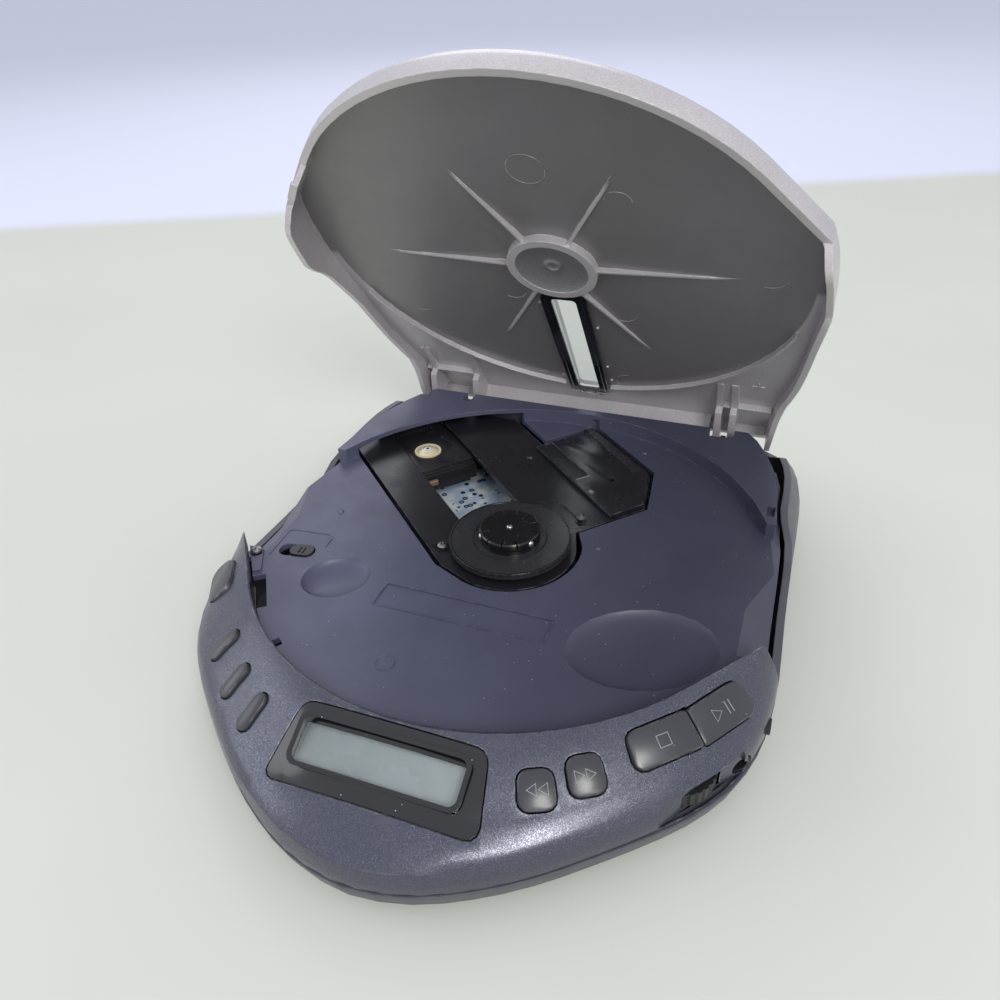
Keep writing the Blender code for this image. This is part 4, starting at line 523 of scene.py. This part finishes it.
nodeFinish = {
    "caseFinish": ["bottom_case", "battery_door"],
    "panelFinish": ["front_panel"],
    "wellFinish": ["disc_well"],
    "lidFinish": ["lid_shell"],
    "clearFinish": ["lid_window", "display_lens"],
    "glossFinish": ["window_frame"],
    "deckFinish": ["deck_chassis", "deck_cover"],
    "platterFinish": ["turntable"],
    "keyFinish": ["open_button", "buffer_key", "play_mode_key", "repeat_key", "skip_back_key",
                  "skip_forward_key", "stop_key", "play_key"],
    "knobFinish": ["hold_switch", "side_switch", "volume_wheel", "volume_control", "phones_jack",
                   "dc_jack", "line_jack"],
    "rubberFinish": ["foot_1", "foot_2", "foot_3", "foot_4", "damper_bush_1", "damper_bush_2",
                     "damper_bush_3"],
    "nylonFinish": ["lead_screw_gear"],
    "darkPartFinish": ["latch_slider", "pickup_sled"],
    "steelFinish": ["hinge_pin_left", "hinge_pin_right", "spindle_shaft", "guide_rod",
                    "lead_screw", "clamp_ball_1", "clamp_ball_2", "clamp_ball_3",
                    "bridge_contact", "minus_contact", "plus_contact", "spindle_motor",
                    "sled_motor"],
    "screwFinish": ["deck_screw_1", "deck_screw_2", "latch_screw"],
    "brassFinish": ["motor_pinion"],
    "holderFinish": ["lens_holder"],
    "opticFinish": ["objective_lens"],
    "boardFinish": ["main_board", "key_board"],
    "displayFinish": ["display_module"],
}


def dress(piece, *finishNames):
    piece.data.materials.clear()
    for name in finishNames:
        piece.data.materials.append(finishes[name])


for finishName, members in nodeFinish.items():
    for member in members:
        dress(nodes[member], finishName)


def makeFloor():
    # The floor, with the wall behind it as a tint on its far part
    bpy.ops.mesh.primitive_plane_add(size=2 * room["floorHalf"], location=(0, 0, room["floorDrop"]))
    floor = bpy.context.object
    floor.name = "roomFloor"
    made = Finish("floorFinish")
    axes = made.axes()
    terms = [made.math("MULTIPLY", axes[key], way) for key, way in zip("XY", room["wallWay"])]
    side = made.math("ADD", *terms)
    far = made.ramp(side, room["wallFar"], room["wallFar"] + room["wallSoft"])
    color = made.shades(made.pattern("floorCloud"), room["floorColor"], room["cloudShade"])
    made.color(made.blend(far, color, room["wallColor"]))
    made.fixed(Roughness=room["rough"])
    made.relief([(made.noise(room["grainScale"], detail=2), room["grain"])])
    floor.data.materials.append(made.material)


def deselectAll():
    bpy.ops.object.select_all(action="DESELECT")


def choose(piece):
    deselectAll()
    piece.select_set(True)
    bpy.context.view_layer.objects.active = piece


def editAll(piece):
    choose(piece)
    bpy.ops.object.mode_set(mode="EDIT")
    bpy.ops.mesh.select_all(action="SELECT")


def bodyOf(nodeName):
    return nodes[nodeName]["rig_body"]


# Corners closer than weld become one, and faces folded less than flat degrees are one face
meshWork = dict(weld=0.000002, fineWeld=0.000001, flat=0.6, bevelSteps=2)

# Folds in degrees past which an edge is drawn sharp
folds = dict(plain=32, dish=40, small=50, round=60)


def finished(piece, body, finishName, fold=folds["plain"]):
    # Shading, finish and body of a new piece
    choose(piece)
    bpy.ops.object.shade_smooth_by_angle(angle=math.radians(fold))
    if finishName:
        dress(piece, finishName)
    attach(piece, body)
    return piece


def skinOf(nodeName, pieceName, fold=folds["plain"], edge=0.0, cutters=()):
    # A welded, smooth-shaded copy of a CAD node that stands for it, with cuts and soft edges
    piece = newObject(pieceName, nodes[nodeName].data.copy())
    editAll(piece)
    bpy.ops.mesh.remove_doubles(threshold=meshWork["weld"])
    bpy.ops.mesh.customdata_custom_splitnormals_clear()
    if edge:
        bpy.ops.mesh.dissolve_limited(angle_limit=math.radians(meshWork["flat"]))
    bpy.ops.object.mode_set(mode="OBJECT")
    for cutter in cutters:
        cut = piece.modifiers.new("cut", "BOOLEAN")
        cut.operation = "DIFFERENCE"
        cut.solver = "EXACT"
        cut.object = cutter
        bpy.ops.object.modifier_apply(modifier=cut.name)
        bpy.data.objects.remove(cutter)
    if edge:
        bevel = piece.modifiers.new("softEdge", "BEVEL")
        bevel.width = edge
        bevel.segments = meshWork["bevelSteps"]
        bevel.limit_method = "ANGLE"
        bevel.angle_limit = math.radians(fold)
        bpy.ops.object.modifier_apply(modifier=bevel.name)
    finished(piece, bodyOf(nodeName), None, fold)
    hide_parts(nodeName)
    return piece


def closeMesh(reach):
    # Ends the edit with near corners welded and all faces turned outwards
    bpy.ops.mesh.remove_doubles(threshold=reach)
    bpy.ops.mesh.normals_make_consistent(inside=False)
    bpy.ops.object.mode_set(mode="OBJECT")


def flatMesh(name, lines, low, high, place=Matrix.Identity(4), soft=0.0):
    # Closed outlines, each inside the last one being a hole, filled and raised from low to high
    curve = bpy.data.curves.new(name, "CURVE")
    curve.dimensions = "2D"
    curve.fill_mode = "BOTH"
    curve.extrude = (high - low) / 2 - soft
    curve.bevel_depth = soft
    curve.bevel_resolution = 1
    curve.offset = -soft
    for line in lines:
        spline = curve.splines.new("POLY")
        spline.points.add(len(line) - 1)
        for point, (x, y) in zip(spline.points, line):
            point.co = (x, y, 0, 1)
        spline.use_cyclic_u = True
    choose(newObject(name, curve))
    bpy.ops.object.convert(target="MESH")
    piece = bpy.context.object
    piece.data.transform(place @ Matrix.Translation((0, 0, (low + high) / 2)))
    editAll(piece)
    closeMesh(meshWork["fineWeld"])
    return piece


def spunMesh(name, profile, steps, place=Matrix.Identity(4)):
    # An (r, z) line spun round Z
    data = bpy.data.meshes.new(name)
    joints = [(index, index + 1) for index in range(len(profile) - 1)]
    data.from_pydata([(r, 0, z) for r, z in profile], joints, [])
    piece = newObject(name, data)
    editAll(piece)
    bpy.ops.mesh.spin(steps=steps, angle=2 * math.pi, center=(0, 0, 0), axis=(0, 0, 1))
    bpy.ops.mesh.select_all(action="SELECT")
    closeMesh(meshWork["weld"])
    piece.data.transform(place)
    return piece


def joined(pieces, name):
    deselectAll()
    for piece in pieces:
        piece.select_set(True)
    bpy.context.view_layer.objects.active = pieces[0]
    if len(pieces) > 1:
        bpy.ops.object.join()
    pieces[0].name = name
    return pieces[0]


def raised(name, nodeName, finishName, shapes, low, high, place=Matrix.Identity(4), soft=0.0):
    # One piece made of flat shapes, each a list of outlines, on the body of a CAD node
    parts = [flatMesh(name, lines, low, high, place, soft) for lines in shapes]
    fold = folds["small"] if soft else folds["plain"]
    finished(joined(parts, name), bodyOf(nodeName), finishName, fold)


def rounded(size, x=0.0, y=0.0, turn=0.0, points=5):
    # A rectangle with round corners; its size is length, width and corner radius
    long, wide, corner = size
    made = []
    c, s = math.cos(math.radians(turn)), math.sin(math.radians(turn))
    for sx, sy, start in ((1, 1, 0), (-1, 1, 90), (-1, -1, 180), (1, -1, 270)):
        for step in range(points):
            a = math.radians(start + 90 * step / (points - 1))
            u = sx * (long / 2 - corner) + corner * math.cos(a)
            v = sy * (wide / 2 - corner) + corner * math.sin(a)
            made.append((x + u * c - v * s, y + u * s + v * c))
    return made


def frameLines(outline, line):
    # The outline and the same outline drawn in, for a thin raised frame
    count = len(outline)
    middle = sum((Vector(point) for point in outline), Vector((0, 0))) / count
    inner = []
    for index in range(count):
        a, b, c = (Vector(outline[(index + step) % count]) for step in (-1, 0, 1))
        way = (b - a).normalized() + (c - b).normalized()
        side = Vector((-way.y, way.x)).normalized()
        if side.dot(middle - b) < 0:
            side = -side
        inner.append(tuple(b + side * line))
    return [outline, inner]


def ribbon(points, wide):
    # A strip of even width along a line of points
    left, right = [], []
    last = len(points) - 1
    for index, point in enumerate(points):
        a, b = Vector(points[max(index - 1, 0)]), Vector(points[min(index + 1, last)])
        way = (b - a).normalized()
        side = Vector((-way.y, way.x)) * wide / 2
        left.append(tuple(Vector(point) + side))
        right.append(tuple(Vector(point) - side))
    return left + right[::-1]


def arc(radius, angles, x, y):
    return [(x + radius * math.cos(a), y + radius * math.sin(a)) for a in angles]


def ringArc(radius, wide, start, end, x, y, points=24):
    # Part of a ring, from start to end in degrees
    angles = [math.radians(start + (end - start) * step / (points - 1)) for step in range(points)]
    outer = arc(radius + wide / 2, angles, x, y)
    return outer + arc(radius - wide / 2, angles, x, y)[::-1]


def circle(radius, x=0.0, y=0.0, points=24):
    return arc(radius, [2 * math.pi * step / points for step in range(points)], x, y)


deselectAll()
makeFloor()

# Frames that the details stand in: the lid shut, and the deck turned to the pickup's path
hingePlace = Vector(jointPlace["lid_hinge"]["pos_m"])
openTurn = math.radians(jointPlace["lid_hinge"]["range_deg"][1])
lidPlace = (Matrix.Translation(hingePlace) @ Matrix.Rotation(-openTurn, 4, "X")
            @ Matrix.Translation(-hingePlace))
deckTurn = 137.0
deckPlace = Matrix.Rotation(math.radians(deckTurn), 4, "Z")

# How deep a raised detail is rooted, how far a cutter stands out, and how flat a key's face is
rootDeep = 0.0001
cutPast = 0.001
faceFlat = 0.00008


def placeAlong(middle, along, out):
    # X along, Z out, with the origin in the middle
    turn = Matrix((along, out.cross(along).normalized(), out)).transposed().to_4x4()
    return Matrix.Translation(middle) @ turn


def keyPlace(key):
    # Middle of a key's face: X runs round the panel, Y up the slope, Z out of it
    out = -Vector(jointPlace[key + "_press"]["axis"]).normalized()
    points = [v.co for v in nodes[key + "_key"].data.vertices]
    top = max(p.dot(out) for p in points)
    face = [p for p in points if p.dot(out) > top - faceFlat]
    middle = sum(face, Vector()) / len(face)
    return placeAlong(middle, Vector((-middle.y, middle.x, 0)).normalized(), out)


# Screws: a cross recess
crossHead = dict(size=(0.00150, 0.00030, 0.00010), deep=0.00050, turns=(20, 110))


def crossCutters(nodeName):
    low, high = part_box(nodeName)
    place = Matrix.Translation(((low.x + high.x) / 2, (low.y + high.y) / 2, 0))
    arms = []
    for turn in crossHead["turns"]:
        line = rounded(crossHead["size"], turn=turn, points=3)
        arms.append(flatMesh("arm", [line], high.z - crossHead["deep"], high.z + cutPast, place))
    return arms


# Turntable: slits in the hub's edge, and the hub's own gloss inside hubReach and above ringLow
turntable = dict(slits=12, firstTurn=4, near=0.0049, far=0.0090, wide=0.00032, corner=0.0001,
                 low=0.0222, hubHigh=0.0238, hubReach=0.0077, ringLow=0.0211)


def slitCutters():
    spec = turntable
    size = (spec["far"] - spec["near"], spec["wide"], spec["corner"])
    cutters = []
    for number in range(spec["slits"] // 2):
        angle = math.radians(360 * number / spec["slits"] + spec["firstTurn"])
        place = Matrix.Rotation(angle, 4, "Z")
        for sign in (1, -1):
            line = rounded(size, sign * (spec["near"] + spec["far"]) / 2, points=2)
            top = spec["hubHigh"] + cutPast
            cutters.append(flatMesh("slit", [line], spec["low"], top, place))
    return cutters


def glossHub(piece):
    dress(piece, "platterFinish", "hubFinish")
    for face in piece.data.polygons:
        middle = face.center
        near = math.hypot(middle.x, middle.y) < turntable["hubReach"]
        face.material_index = int(near and middle.z > turntable["ringLow"])


# Shallow cuts in the deck's parts, in the deck's own frame: middle, length, width and turn
deckCuts = dict(
    deep=0.0005, corner=0.0002,
    sled=((0.0558, -0.0069, 0.0066, 0.0009, 3.5), (0.0448, -0.0042, 0.0012, 0.0026, 0.0)),
    chassis=((0.0042, -0.0198, 0.0110, 0.0017, 3.0), (0.0082, 0.0146, 0.0044, 0.0044, 0.0)),
    cover=((0.0360, -0.0352, 0.0022, 0.0020, 0.0),))
deckTop = dict(sled=0.0172, chassis=0.0177, cover=0.0190)


def deckCutters(part):
    low, high = deckTop[part] - deckCuts["deep"], deckTop[part] + cutPast
    cutters = []
    for u, v, long, wide, turn in deckCuts[part]:
        line = rounded((long, wide, deckCuts["corner"]), u, v, turn, points=3)
        cutters.append(flatMesh("deckCut", [line], low, high, deckPlace))
    return cutters


# Stop and play lie side by side as one bar, as in the photo: the rib between their holes is cut
# away, and both keys reach towards the seam
bar = dict(cut=(0.0012, 0.0078, 0.0002), cutDown=0.00027, cutDeep=0.0034, shift=0.00042,
           endReach=0.0008, faceDeep=0.0013, sides=dict(stop=1, play=-1))


def seamCutter():
    stop, play = keyPlace("stop"), keyPlace("play")
    middle = (stop.translation + play.translation) / 2
    out = (stop.col[2].to_3d() + play.col[2].to_3d()).normalized()
    along = Vector((-middle.y, middle.x, 0)).normalized()
    along = (along - out * along.dot(out)).normalized()
    line = rounded(bar["cut"], y=-bar["cutDown"], points=3)
    return flatMesh("seamCut", [line], -bar["cutDeep"], cutPast, placeAlong(middle, along, out))


def reachSeam(piece, place, side):
    # Moves the end of the key's upper part towards the seam
    back = place.inverted()
    points = [(v, back @ v.co) for v in piece.data.vertices]
    points = [(v, p) for v, p in points if p.z > -bar["faceDeep"]]
    edge = max(side * p.x for v, p in points)
    for v, p in points:
        if side * p.x > edge - bar["endReach"]:
            v.co += place.col[0].to_3d() * side * bar["shift"]


# Skins: the pieces that stand for CAD nodes
plainSkins = {
    "lid_shell": "lidSkin", "disc_well": "wellSkin", "bottom_case": "caseSkin",
    "lens_holder": "lensHolderSkin", "objective_lens": "lensSkin",
    "display_module": "displaySkin", "window_frame": "windowFrameSkin",
    "lid_window": "lidWindowSkin", "volume_wheel": "volumeWheelSkin",
    "hold_switch": "holdSwitchSkin",
}
skinEdge = dict(sled=0.00018, cover=0.00012)
for nodeName, pieceName in plainSkins.items():
    skinOf(nodeName, pieceName)
skinOf("front_panel", "frontPanelSkin", cutters=[seamCutter()])
for nodeName in nodeFinish["keyFinish"]:
    keySkin = skinOf(nodeName, nodeName.replace("_", "") + "Skin")
    key = nodeName.removesuffix("_key")
    if key in bar["sides"]:
        reachSeam(keySkin, keyPlace(key), bar["sides"][key])
for number in (1, 2, 3):
    skinOf(f"clamp_ball_{number}", f"clampball{number}Skin", fold=folds["round"])
skinOf("pickup_sled", "sledSkin", edge=skinEdge["sled"], cutters=deckCutters("sled"))
skinOf("deck_chassis", "deckSkin", cutters=deckCutters("chassis"))
skinOf("deck_cover", "deckCoverSkin", edge=skinEdge["cover"], cutters=deckCutters("cover"))
glossHub(skinOf("turntable", "turntableSkin", cutters=slitCutters()))
for screwName in nodeFinish["screwFinish"]:
    skinOf(screwName, screwName.replace("_", "") + "Skin", cutters=crossCutters(screwName))
print("skins are on")

# Display: the lens is clear over the glass and black round it
displayCut = dict(half=0.0168, low=-0.0041, high=0.0041, lensThick=0.0010)


def makeDisplayLens():
    spec = displayCut
    piece = skinOf("display_lens", "displayLensSkin")
    low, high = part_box("display_lens")
    middle = (low + high) / 2
    across = Vector((1, 0, 0))
    slope = Vector((0, high.y - low.y, high.z - low.z - spec["lensThick"])).normalized()
    editAll(piece)
    for reach, way in ((-spec["half"], across), (spec["half"], across),
                       (spec["low"], slope), (spec["high"], slope)):
        bpy.ops.mesh.select_all(action="SELECT")
        bpy.ops.mesh.bisect(plane_co=middle + way * reach, plane_no=way)
    bpy.ops.object.mode_set(mode="OBJECT")
    dress(piece, "glossFinish", "clearFinish")
    for face in piece.data.polygons:
        along = (face.center - middle).dot(slope)
        near = abs(face.center.x - middle.x) < spec["half"]
        face.material_index = int(near and spec["low"] < along < spec["high"])


makeDisplayLens()

# A low rim frames the clear part of the display's lens
displayRim = dict(sizes=((0.0350, 0.0102, 0.0022), (0.0331, 0.0084, 0.0016)), down=0.0002,
                  sink=0.00005, rise=0.00006, upward=0.5)


def makeDisplayRim():
    spec = displayRim
    faces = [f for f in nodes["display_lens"].data.polygons if f.normal.z > spec["upward"]]
    face = max(faces, key=lambda f: f.area)
    out = face.normal
    middle = sum(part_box("display_lens"), Vector()) / 2
    middle.z = face.center.z - (out.y * (middle.y - face.center.y)) / out.z
    rim = [rounded(size, y=-spec["down"]) for size in spec["sizes"]]
    place = placeAlong(middle, Vector((1, 0, 0)), out)
    raised("displayRim", "display_lens", "glossFinish", [rim], -spec["sink"], spec["rise"], place)


makeDisplayRim()

# Raised signs on the keys, drawn in millimetres with Y up the slope: an arrow has its tip, way,
# length and height, a box its half sides, and a bar its place
keySigns = {
    "skip_back": dict(name="skipBackSign", arrows=((-1.9, -1, 1.9, 2.3), (0.2, -1, 1.9, 2.3))),
    "skip_forward": dict(name="skipForwardSign", arrows=((-0.2, 1, 1.9, 2.3), (1.9, 1, 1.9, 2.3))),
    "stop": dict(name="stopSign", boxes=((1.3, 1.2),)),
    "play": dict(name="playSign", arrows=((-0.3, 1, 2.2, 2.6),), bars=(1.0, 2.0)),
}
perMetre = 1000

# The signs' line, bar and heights in metres
signLook = dict(line=0.00026, bar=(0.00026, 0.0026, 0.0001), rise=0.00010, sink=0.00006)


def makeKeySign(key, spec):
    look = signLook
    outlines = [[(tip, 0), (tip - way * long, high / 2), (tip - way * long, -high / 2)]
                for tip, way, long, high in spec.get("arrows", ())]
    outlines += [[(-u, -v), (u, -v), (u, v), (-u, v)] for u, v in spec.get("boxes", ())]
    signs = []
    for outline in outlines:
        line = [(x / perMetre, y / perMetre) for x, y in outline]
        signs.append(frameLines(line, look["line"]))
    for x in spec.get("bars", ()):
        signs.append([rounded(look["bar"], x / perMetre, points=2)])
    raised(spec["name"], key + "_key", "signFinish", signs, -look["sink"], look["rise"],
           keyPlace(key))


for key, signSpec in keySigns.items():
    makeKeySign(key, signSpec)
print("keys and display are done")

# Lid: the dish in the ring, as an (r, z) line
lidDish = dict(line=((0.0091, 0.0229), (0.0088, 0.0231), (0.0078, 0.0236), (0.0062, 0.0241),
                     (0.0042, 0.0244), (0.0026, 0.02450), (0.0022, 0.0244), (0.0019, 0.0241),
                     (0.0015, 0.0240), (0.0012, 0.0243), (0.0006, 0.0244), (0.0, 0.0244)),
               steps=56)
dish = spunMesh("lidDish", lidDish["line"], lidDish["steps"], lidPlace)
finished(dish, bodyOf("lid_shell"), "lidDishFinish", folds["dish"])

# Lid's lining: round marks as x, y, radius, start and end; crosses, each of four bars; and pips
lidMarks = dict(
    ceiling=0.0248, line=0.00022, rise=0.00008,
    arcs=((0.0, -0.0320, 0.0042, 0, 330), (0.0184, -0.0237, 0.0030, 190, 360),
          (-0.0135, 0.0125, 0.0038, 20, 120), (0.0150, 0.0190, 0.0034, 20, 110),
          (0.0130, 0.0560, 0.0040, 150, 270), (0.0330, 0.0480, 0.0030, 30, 100),
          (0.0500, -0.0020, 0.0040, 20, 110), (-0.0440, 0.0240, 0.0036, 20, 110),
          (-0.0130, 0.0600, 0.0042, 200, 280), (-0.0180, 0.0590, 0.0036, 60, 130)),
    crosses=((0.0495, 0.0490), (-0.0515, 0.0505)),
    barSize=(0.00136, 0.00030, 0.0001), barShift=0.001088, barRise=0.00025,
    pips=((-0.0068, 0.0170), (0.0072, 0.0270), (0.0072, 0.0480), (0.0075, 0.0560),
          (-0.0072, 0.0560)),
    pipRadius=0.00045, pipRise=0.0004, pipSoft=0.0001)


def makeLidMarks():
    spec = lidMarks
    ceiling = spec["ceiling"]
    root = ceiling + rootDeep
    parts = []
    for x, y, radius, start, end in spec["arcs"]:
        line = ringArc(radius, spec["line"], start, end, x, y)
        parts.append(flatMesh("mark", [line], ceiling - spec["rise"], root, lidPlace))
    for x, y in spec["crosses"]:
        for turn, way in ((0, Vector((1, 0))), (90, Vector((0, 1)))):
            for side in (-1, 1):
                u, v = Vector((x, y)) + side * spec["barShift"] * way
                line = rounded(spec["barSize"], u, v, turn, points=2)
                parts.append(flatMesh("mark", [line], ceiling - spec["barRise"], root, lidPlace))
    finished(joined(parts, "lidMarks"), bodyOf("lid_shell"), "lidFinish")
    pips = [[circle(spec["pipRadius"], x, y, points=12)] for x, y in spec["pips"]]
    raised("lidPips", "lid_shell", "lidFinish", pips, ceiling - spec["pipRise"], root, lidPlace,
           spec["pipSoft"])


makeLidMarks()

# Window frame: ridges along its lower face, and clear lumps of plastic at its hinge end
frameRoot = 0.00005
frameRidges = dict(at=(0.0049, 0.0060), wide=0.00028, start=0.0150, end=0.0640, rise=0.00012,
                   soft=0.00005)
frameLumps = dict(spots=((-0.0034, 0.0644), (0.0002, 0.0647), (0.0036, 0.0643)),
                  size=(0.0024, 0.0010, 0.0004), rise=0.0005, soft=0.00018)


def makeFrameDetails():
    back = lidPlace.inverted()
    level = min((back @ v.co).z for v in nodes["window_frame"].data.vertices)
    root = level + frameRoot
    spec = frameRidges
    ridges = [[ribbon([(x, spec["start"]), (x, spec["end"])], spec["wide"])]
              for reach in spec["at"] for x in (-reach, reach)]
    raised("frameRidges", "window_frame", "glossFinish", ridges, level - spec["rise"], root,
           lidPlace, spec["soft"])
    spec = frameLumps
    lumps = [[rounded(spec["size"], x, y)] for x, y in spec["spots"]]
    raised("frameLumps", "window_frame", "clearFinish", lumps, level - spec["rise"], root,
           lidPlace, spec["soft"])


makeFrameDetails()
print("lid is done")

# Well: the frame round the bare label bed and the ridge round the hold switch
wellTop = 0.0185
labelFrame = dict(size=(0.0410, 0.0078, 0.0006), x=-0.0020, y=-0.0263, line=0.00028, rise=0.00012)
holdRidge = dict(points=((-0.0553, -0.0216), (-0.0558, -0.0124), (-0.0555, -0.0115),
                         (-0.0543, -0.0109), (-0.0454, -0.0102), (-0.0443, -0.0104),
                         (-0.0436, -0.0113), (-0.0434, -0.0150)),
                 wide=0.00040, rise=0.00016)


def makeWellLines():
    root = wellTop - rootDeep
    spec = labelFrame
    lines = frameLines(rounded(spec["size"], spec["x"], spec["y"], points=4), spec["line"])
    label = flatMesh("frame", lines, root, wellTop + spec["rise"])
    line = ribbon(holdRidge["points"], holdRidge["wide"])
    ridge = flatMesh("ridge", [line], root, wellTop + holdRidge["rise"])
    finished(joined([label, ridge], "wellLines"), bodyOf("disc_well"), "wellFinish")


makeWellLines()

# Hold switch: two ribs on its knob
knobRibs = dict(apart=0.0011, size=(0.0004, 0.0024, 0.00015), rise=0.00022, turn=8, soft=0.00005)


def makeKnobRibs():
    spec = knobRibs
    low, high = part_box("hold_switch")
    place = Matrix.Translation(((low.x + high.x) / 2, (low.y + high.y) / 2, high.z))
    place = place @ Matrix.Rotation(math.radians(spec["turn"]), 4, "Z")
    ribs = [[rounded(spec["size"], side * spec["apart"] / 2, points=3)] for side in (-1, 1)]
    raised("holdKnobRibs", "hold_switch", "hubFinish", ribs, -rootDeep, spec["rise"], place,
           spec["soft"])


makeKnobRibs()

# Latch screw: a near-black ring round its head, painted shade standing for the recess
screwRecess = dict(radii=(0.00165, 0.00118), low=0.0191, high=0.01926)


def makeScrewRecessShade():
    spec = screwRecess
    low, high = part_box("latch_screw")
    ring = [circle(radius, (low.x + high.x) / 2, (low.y + high.y) / 2) for radius in spec["radii"]]
    # Painted shade: the ring is near black, where the recess lies in shade
    raised("screwRecess", "disc_well", "hubFinish", [ring], spec["low"], spec["high"])


makeScrewRecessShade()

# Deck cover: the textured strip, a pale line that is a painted highlight along the pane's edge, and
# a pin, whose (r, z) line is in shares
coverStrip = dict(points=((0.0112, -0.0434), (0.0385, -0.0445), (0.0376, -0.0468),
                          (0.0114, -0.0461)), rise=0.00010)
coverLine = dict(points=((0.0163, -0.0284), (0.0162, -0.0324)), wide=0.00030, rise=0.00010)
coverPin = dict(u=0.0090, v=-0.0287, steps=20, radius=0.0010, rise=0.00035,
                shares=((1.0, 0.6), (0.7, 1.0), (0.35, 1.0), (0.25, 0.4), (0.0, 0.4)))


def makeCoverDetails():
    top, root = deckTop["cover"], deckTop["cover"] - rootDeep
    raised("coverStrip", "deck_cover", "texturedFinish", [[coverStrip["points"]]], root,
           top + coverStrip["rise"], deckPlace)
    # Painted highlight: a pale line where the pane's edge catches the light
    line = ribbon(coverLine["points"], coverLine["wide"])
    raised("coverLine", "deck_cover", "signFinish", [[line]], root, top + coverLine["rise"],
           deckPlace)
    spec = coverPin
    profile = [(spec["radius"], root)]
    profile += [(spec["radius"] * r, top + spec["rise"] * z) for r, z in spec["shares"]]
    place = deckPlace @ Matrix.Translation((spec["u"], spec["v"], 0))
    pin = spunMesh("coverPin", profile, spec["steps"], place)
    finished(pin, bodyOf("deck_cover"), "screwFinish", folds["dish"])


makeCoverDetails()

# Pickup's copper tab, and the cable stub with its pins in the gap beside the deck
sledTab = dict(u=0.0402, v=0.0043, size=(0.0012, 0.0034, 0.0004), low=0.0142, high=0.0155,
               soft=0.0001)
edgeFlex = dict(points=((-0.0478, 0.0206), (-0.0449, 0.0186), (-0.0425, 0.0170)), wide=0.0007,
                low=0.0118, high=0.0122)
edgePins = dict(start=(-0.0535, 0.0250), end=(-0.0508, 0.0229), count=4, radius=0.00022,
                low=0.0112, high=0.0124, soft=0.00008)


def makeCableDetails():
    spec = sledTab
    line = rounded(spec["size"], spec["u"], spec["v"], points=4)
    raised("sledTab", "pickup_sled", "copperFinish", [[line]], spec["low"], spec["high"],
           deckPlace, spec["soft"])
    spec = edgeFlex
    line = ribbon(spec["points"], spec["wide"])
    raised("edgeFlex", "bottom_case", "flexFinish", [[line]], spec["low"], spec["high"])
    spec = edgePins
    start, end = Vector(spec["start"]), Vector(spec["end"])
    spots = [start.lerp(end, number / (spec["count"] - 1)) for number in range(spec["count"])]
    pins = [[circle(spec["radius"], x, y, points=10)] for x, y in spots]
    raised("edgePins", "bottom_case", "steelFinish", pins, spec["low"], spec["high"],
           soft=spec["soft"])


makeCableDetails()

# Turntable: the raised lip and the round tip of the shaft, as (r, z) lines
platterLip = dict(line=((0.01484, 0.0206), (0.01484, 0.02106), (0.01476, 0.02114),
                        (0.01442, 0.02114), (0.01434, 0.02106), (0.01434, 0.0206),
                        (0.01484, 0.0206)), steps=96)
shaftTip = dict(line=((0.00074, 0.0238), (0.00074, 0.02402), (0.00066, 0.02418),
                      (0.00048, 0.02430), (0.00024, 0.02437), (0.0, 0.02439)), steps=20)
lip = spunMesh("platterLip", platterLip["line"], platterLip["steps"])
finished(lip, bodyOf("turntable"), "hubFinish", folds["small"])
tip = spunMesh("shaftTip", shaftTip["line"], shaftTip["steps"])
finished(tip, bodyOf("spindle_shaft"), "steelFinish", folds["round"])
print("well and deck are done")
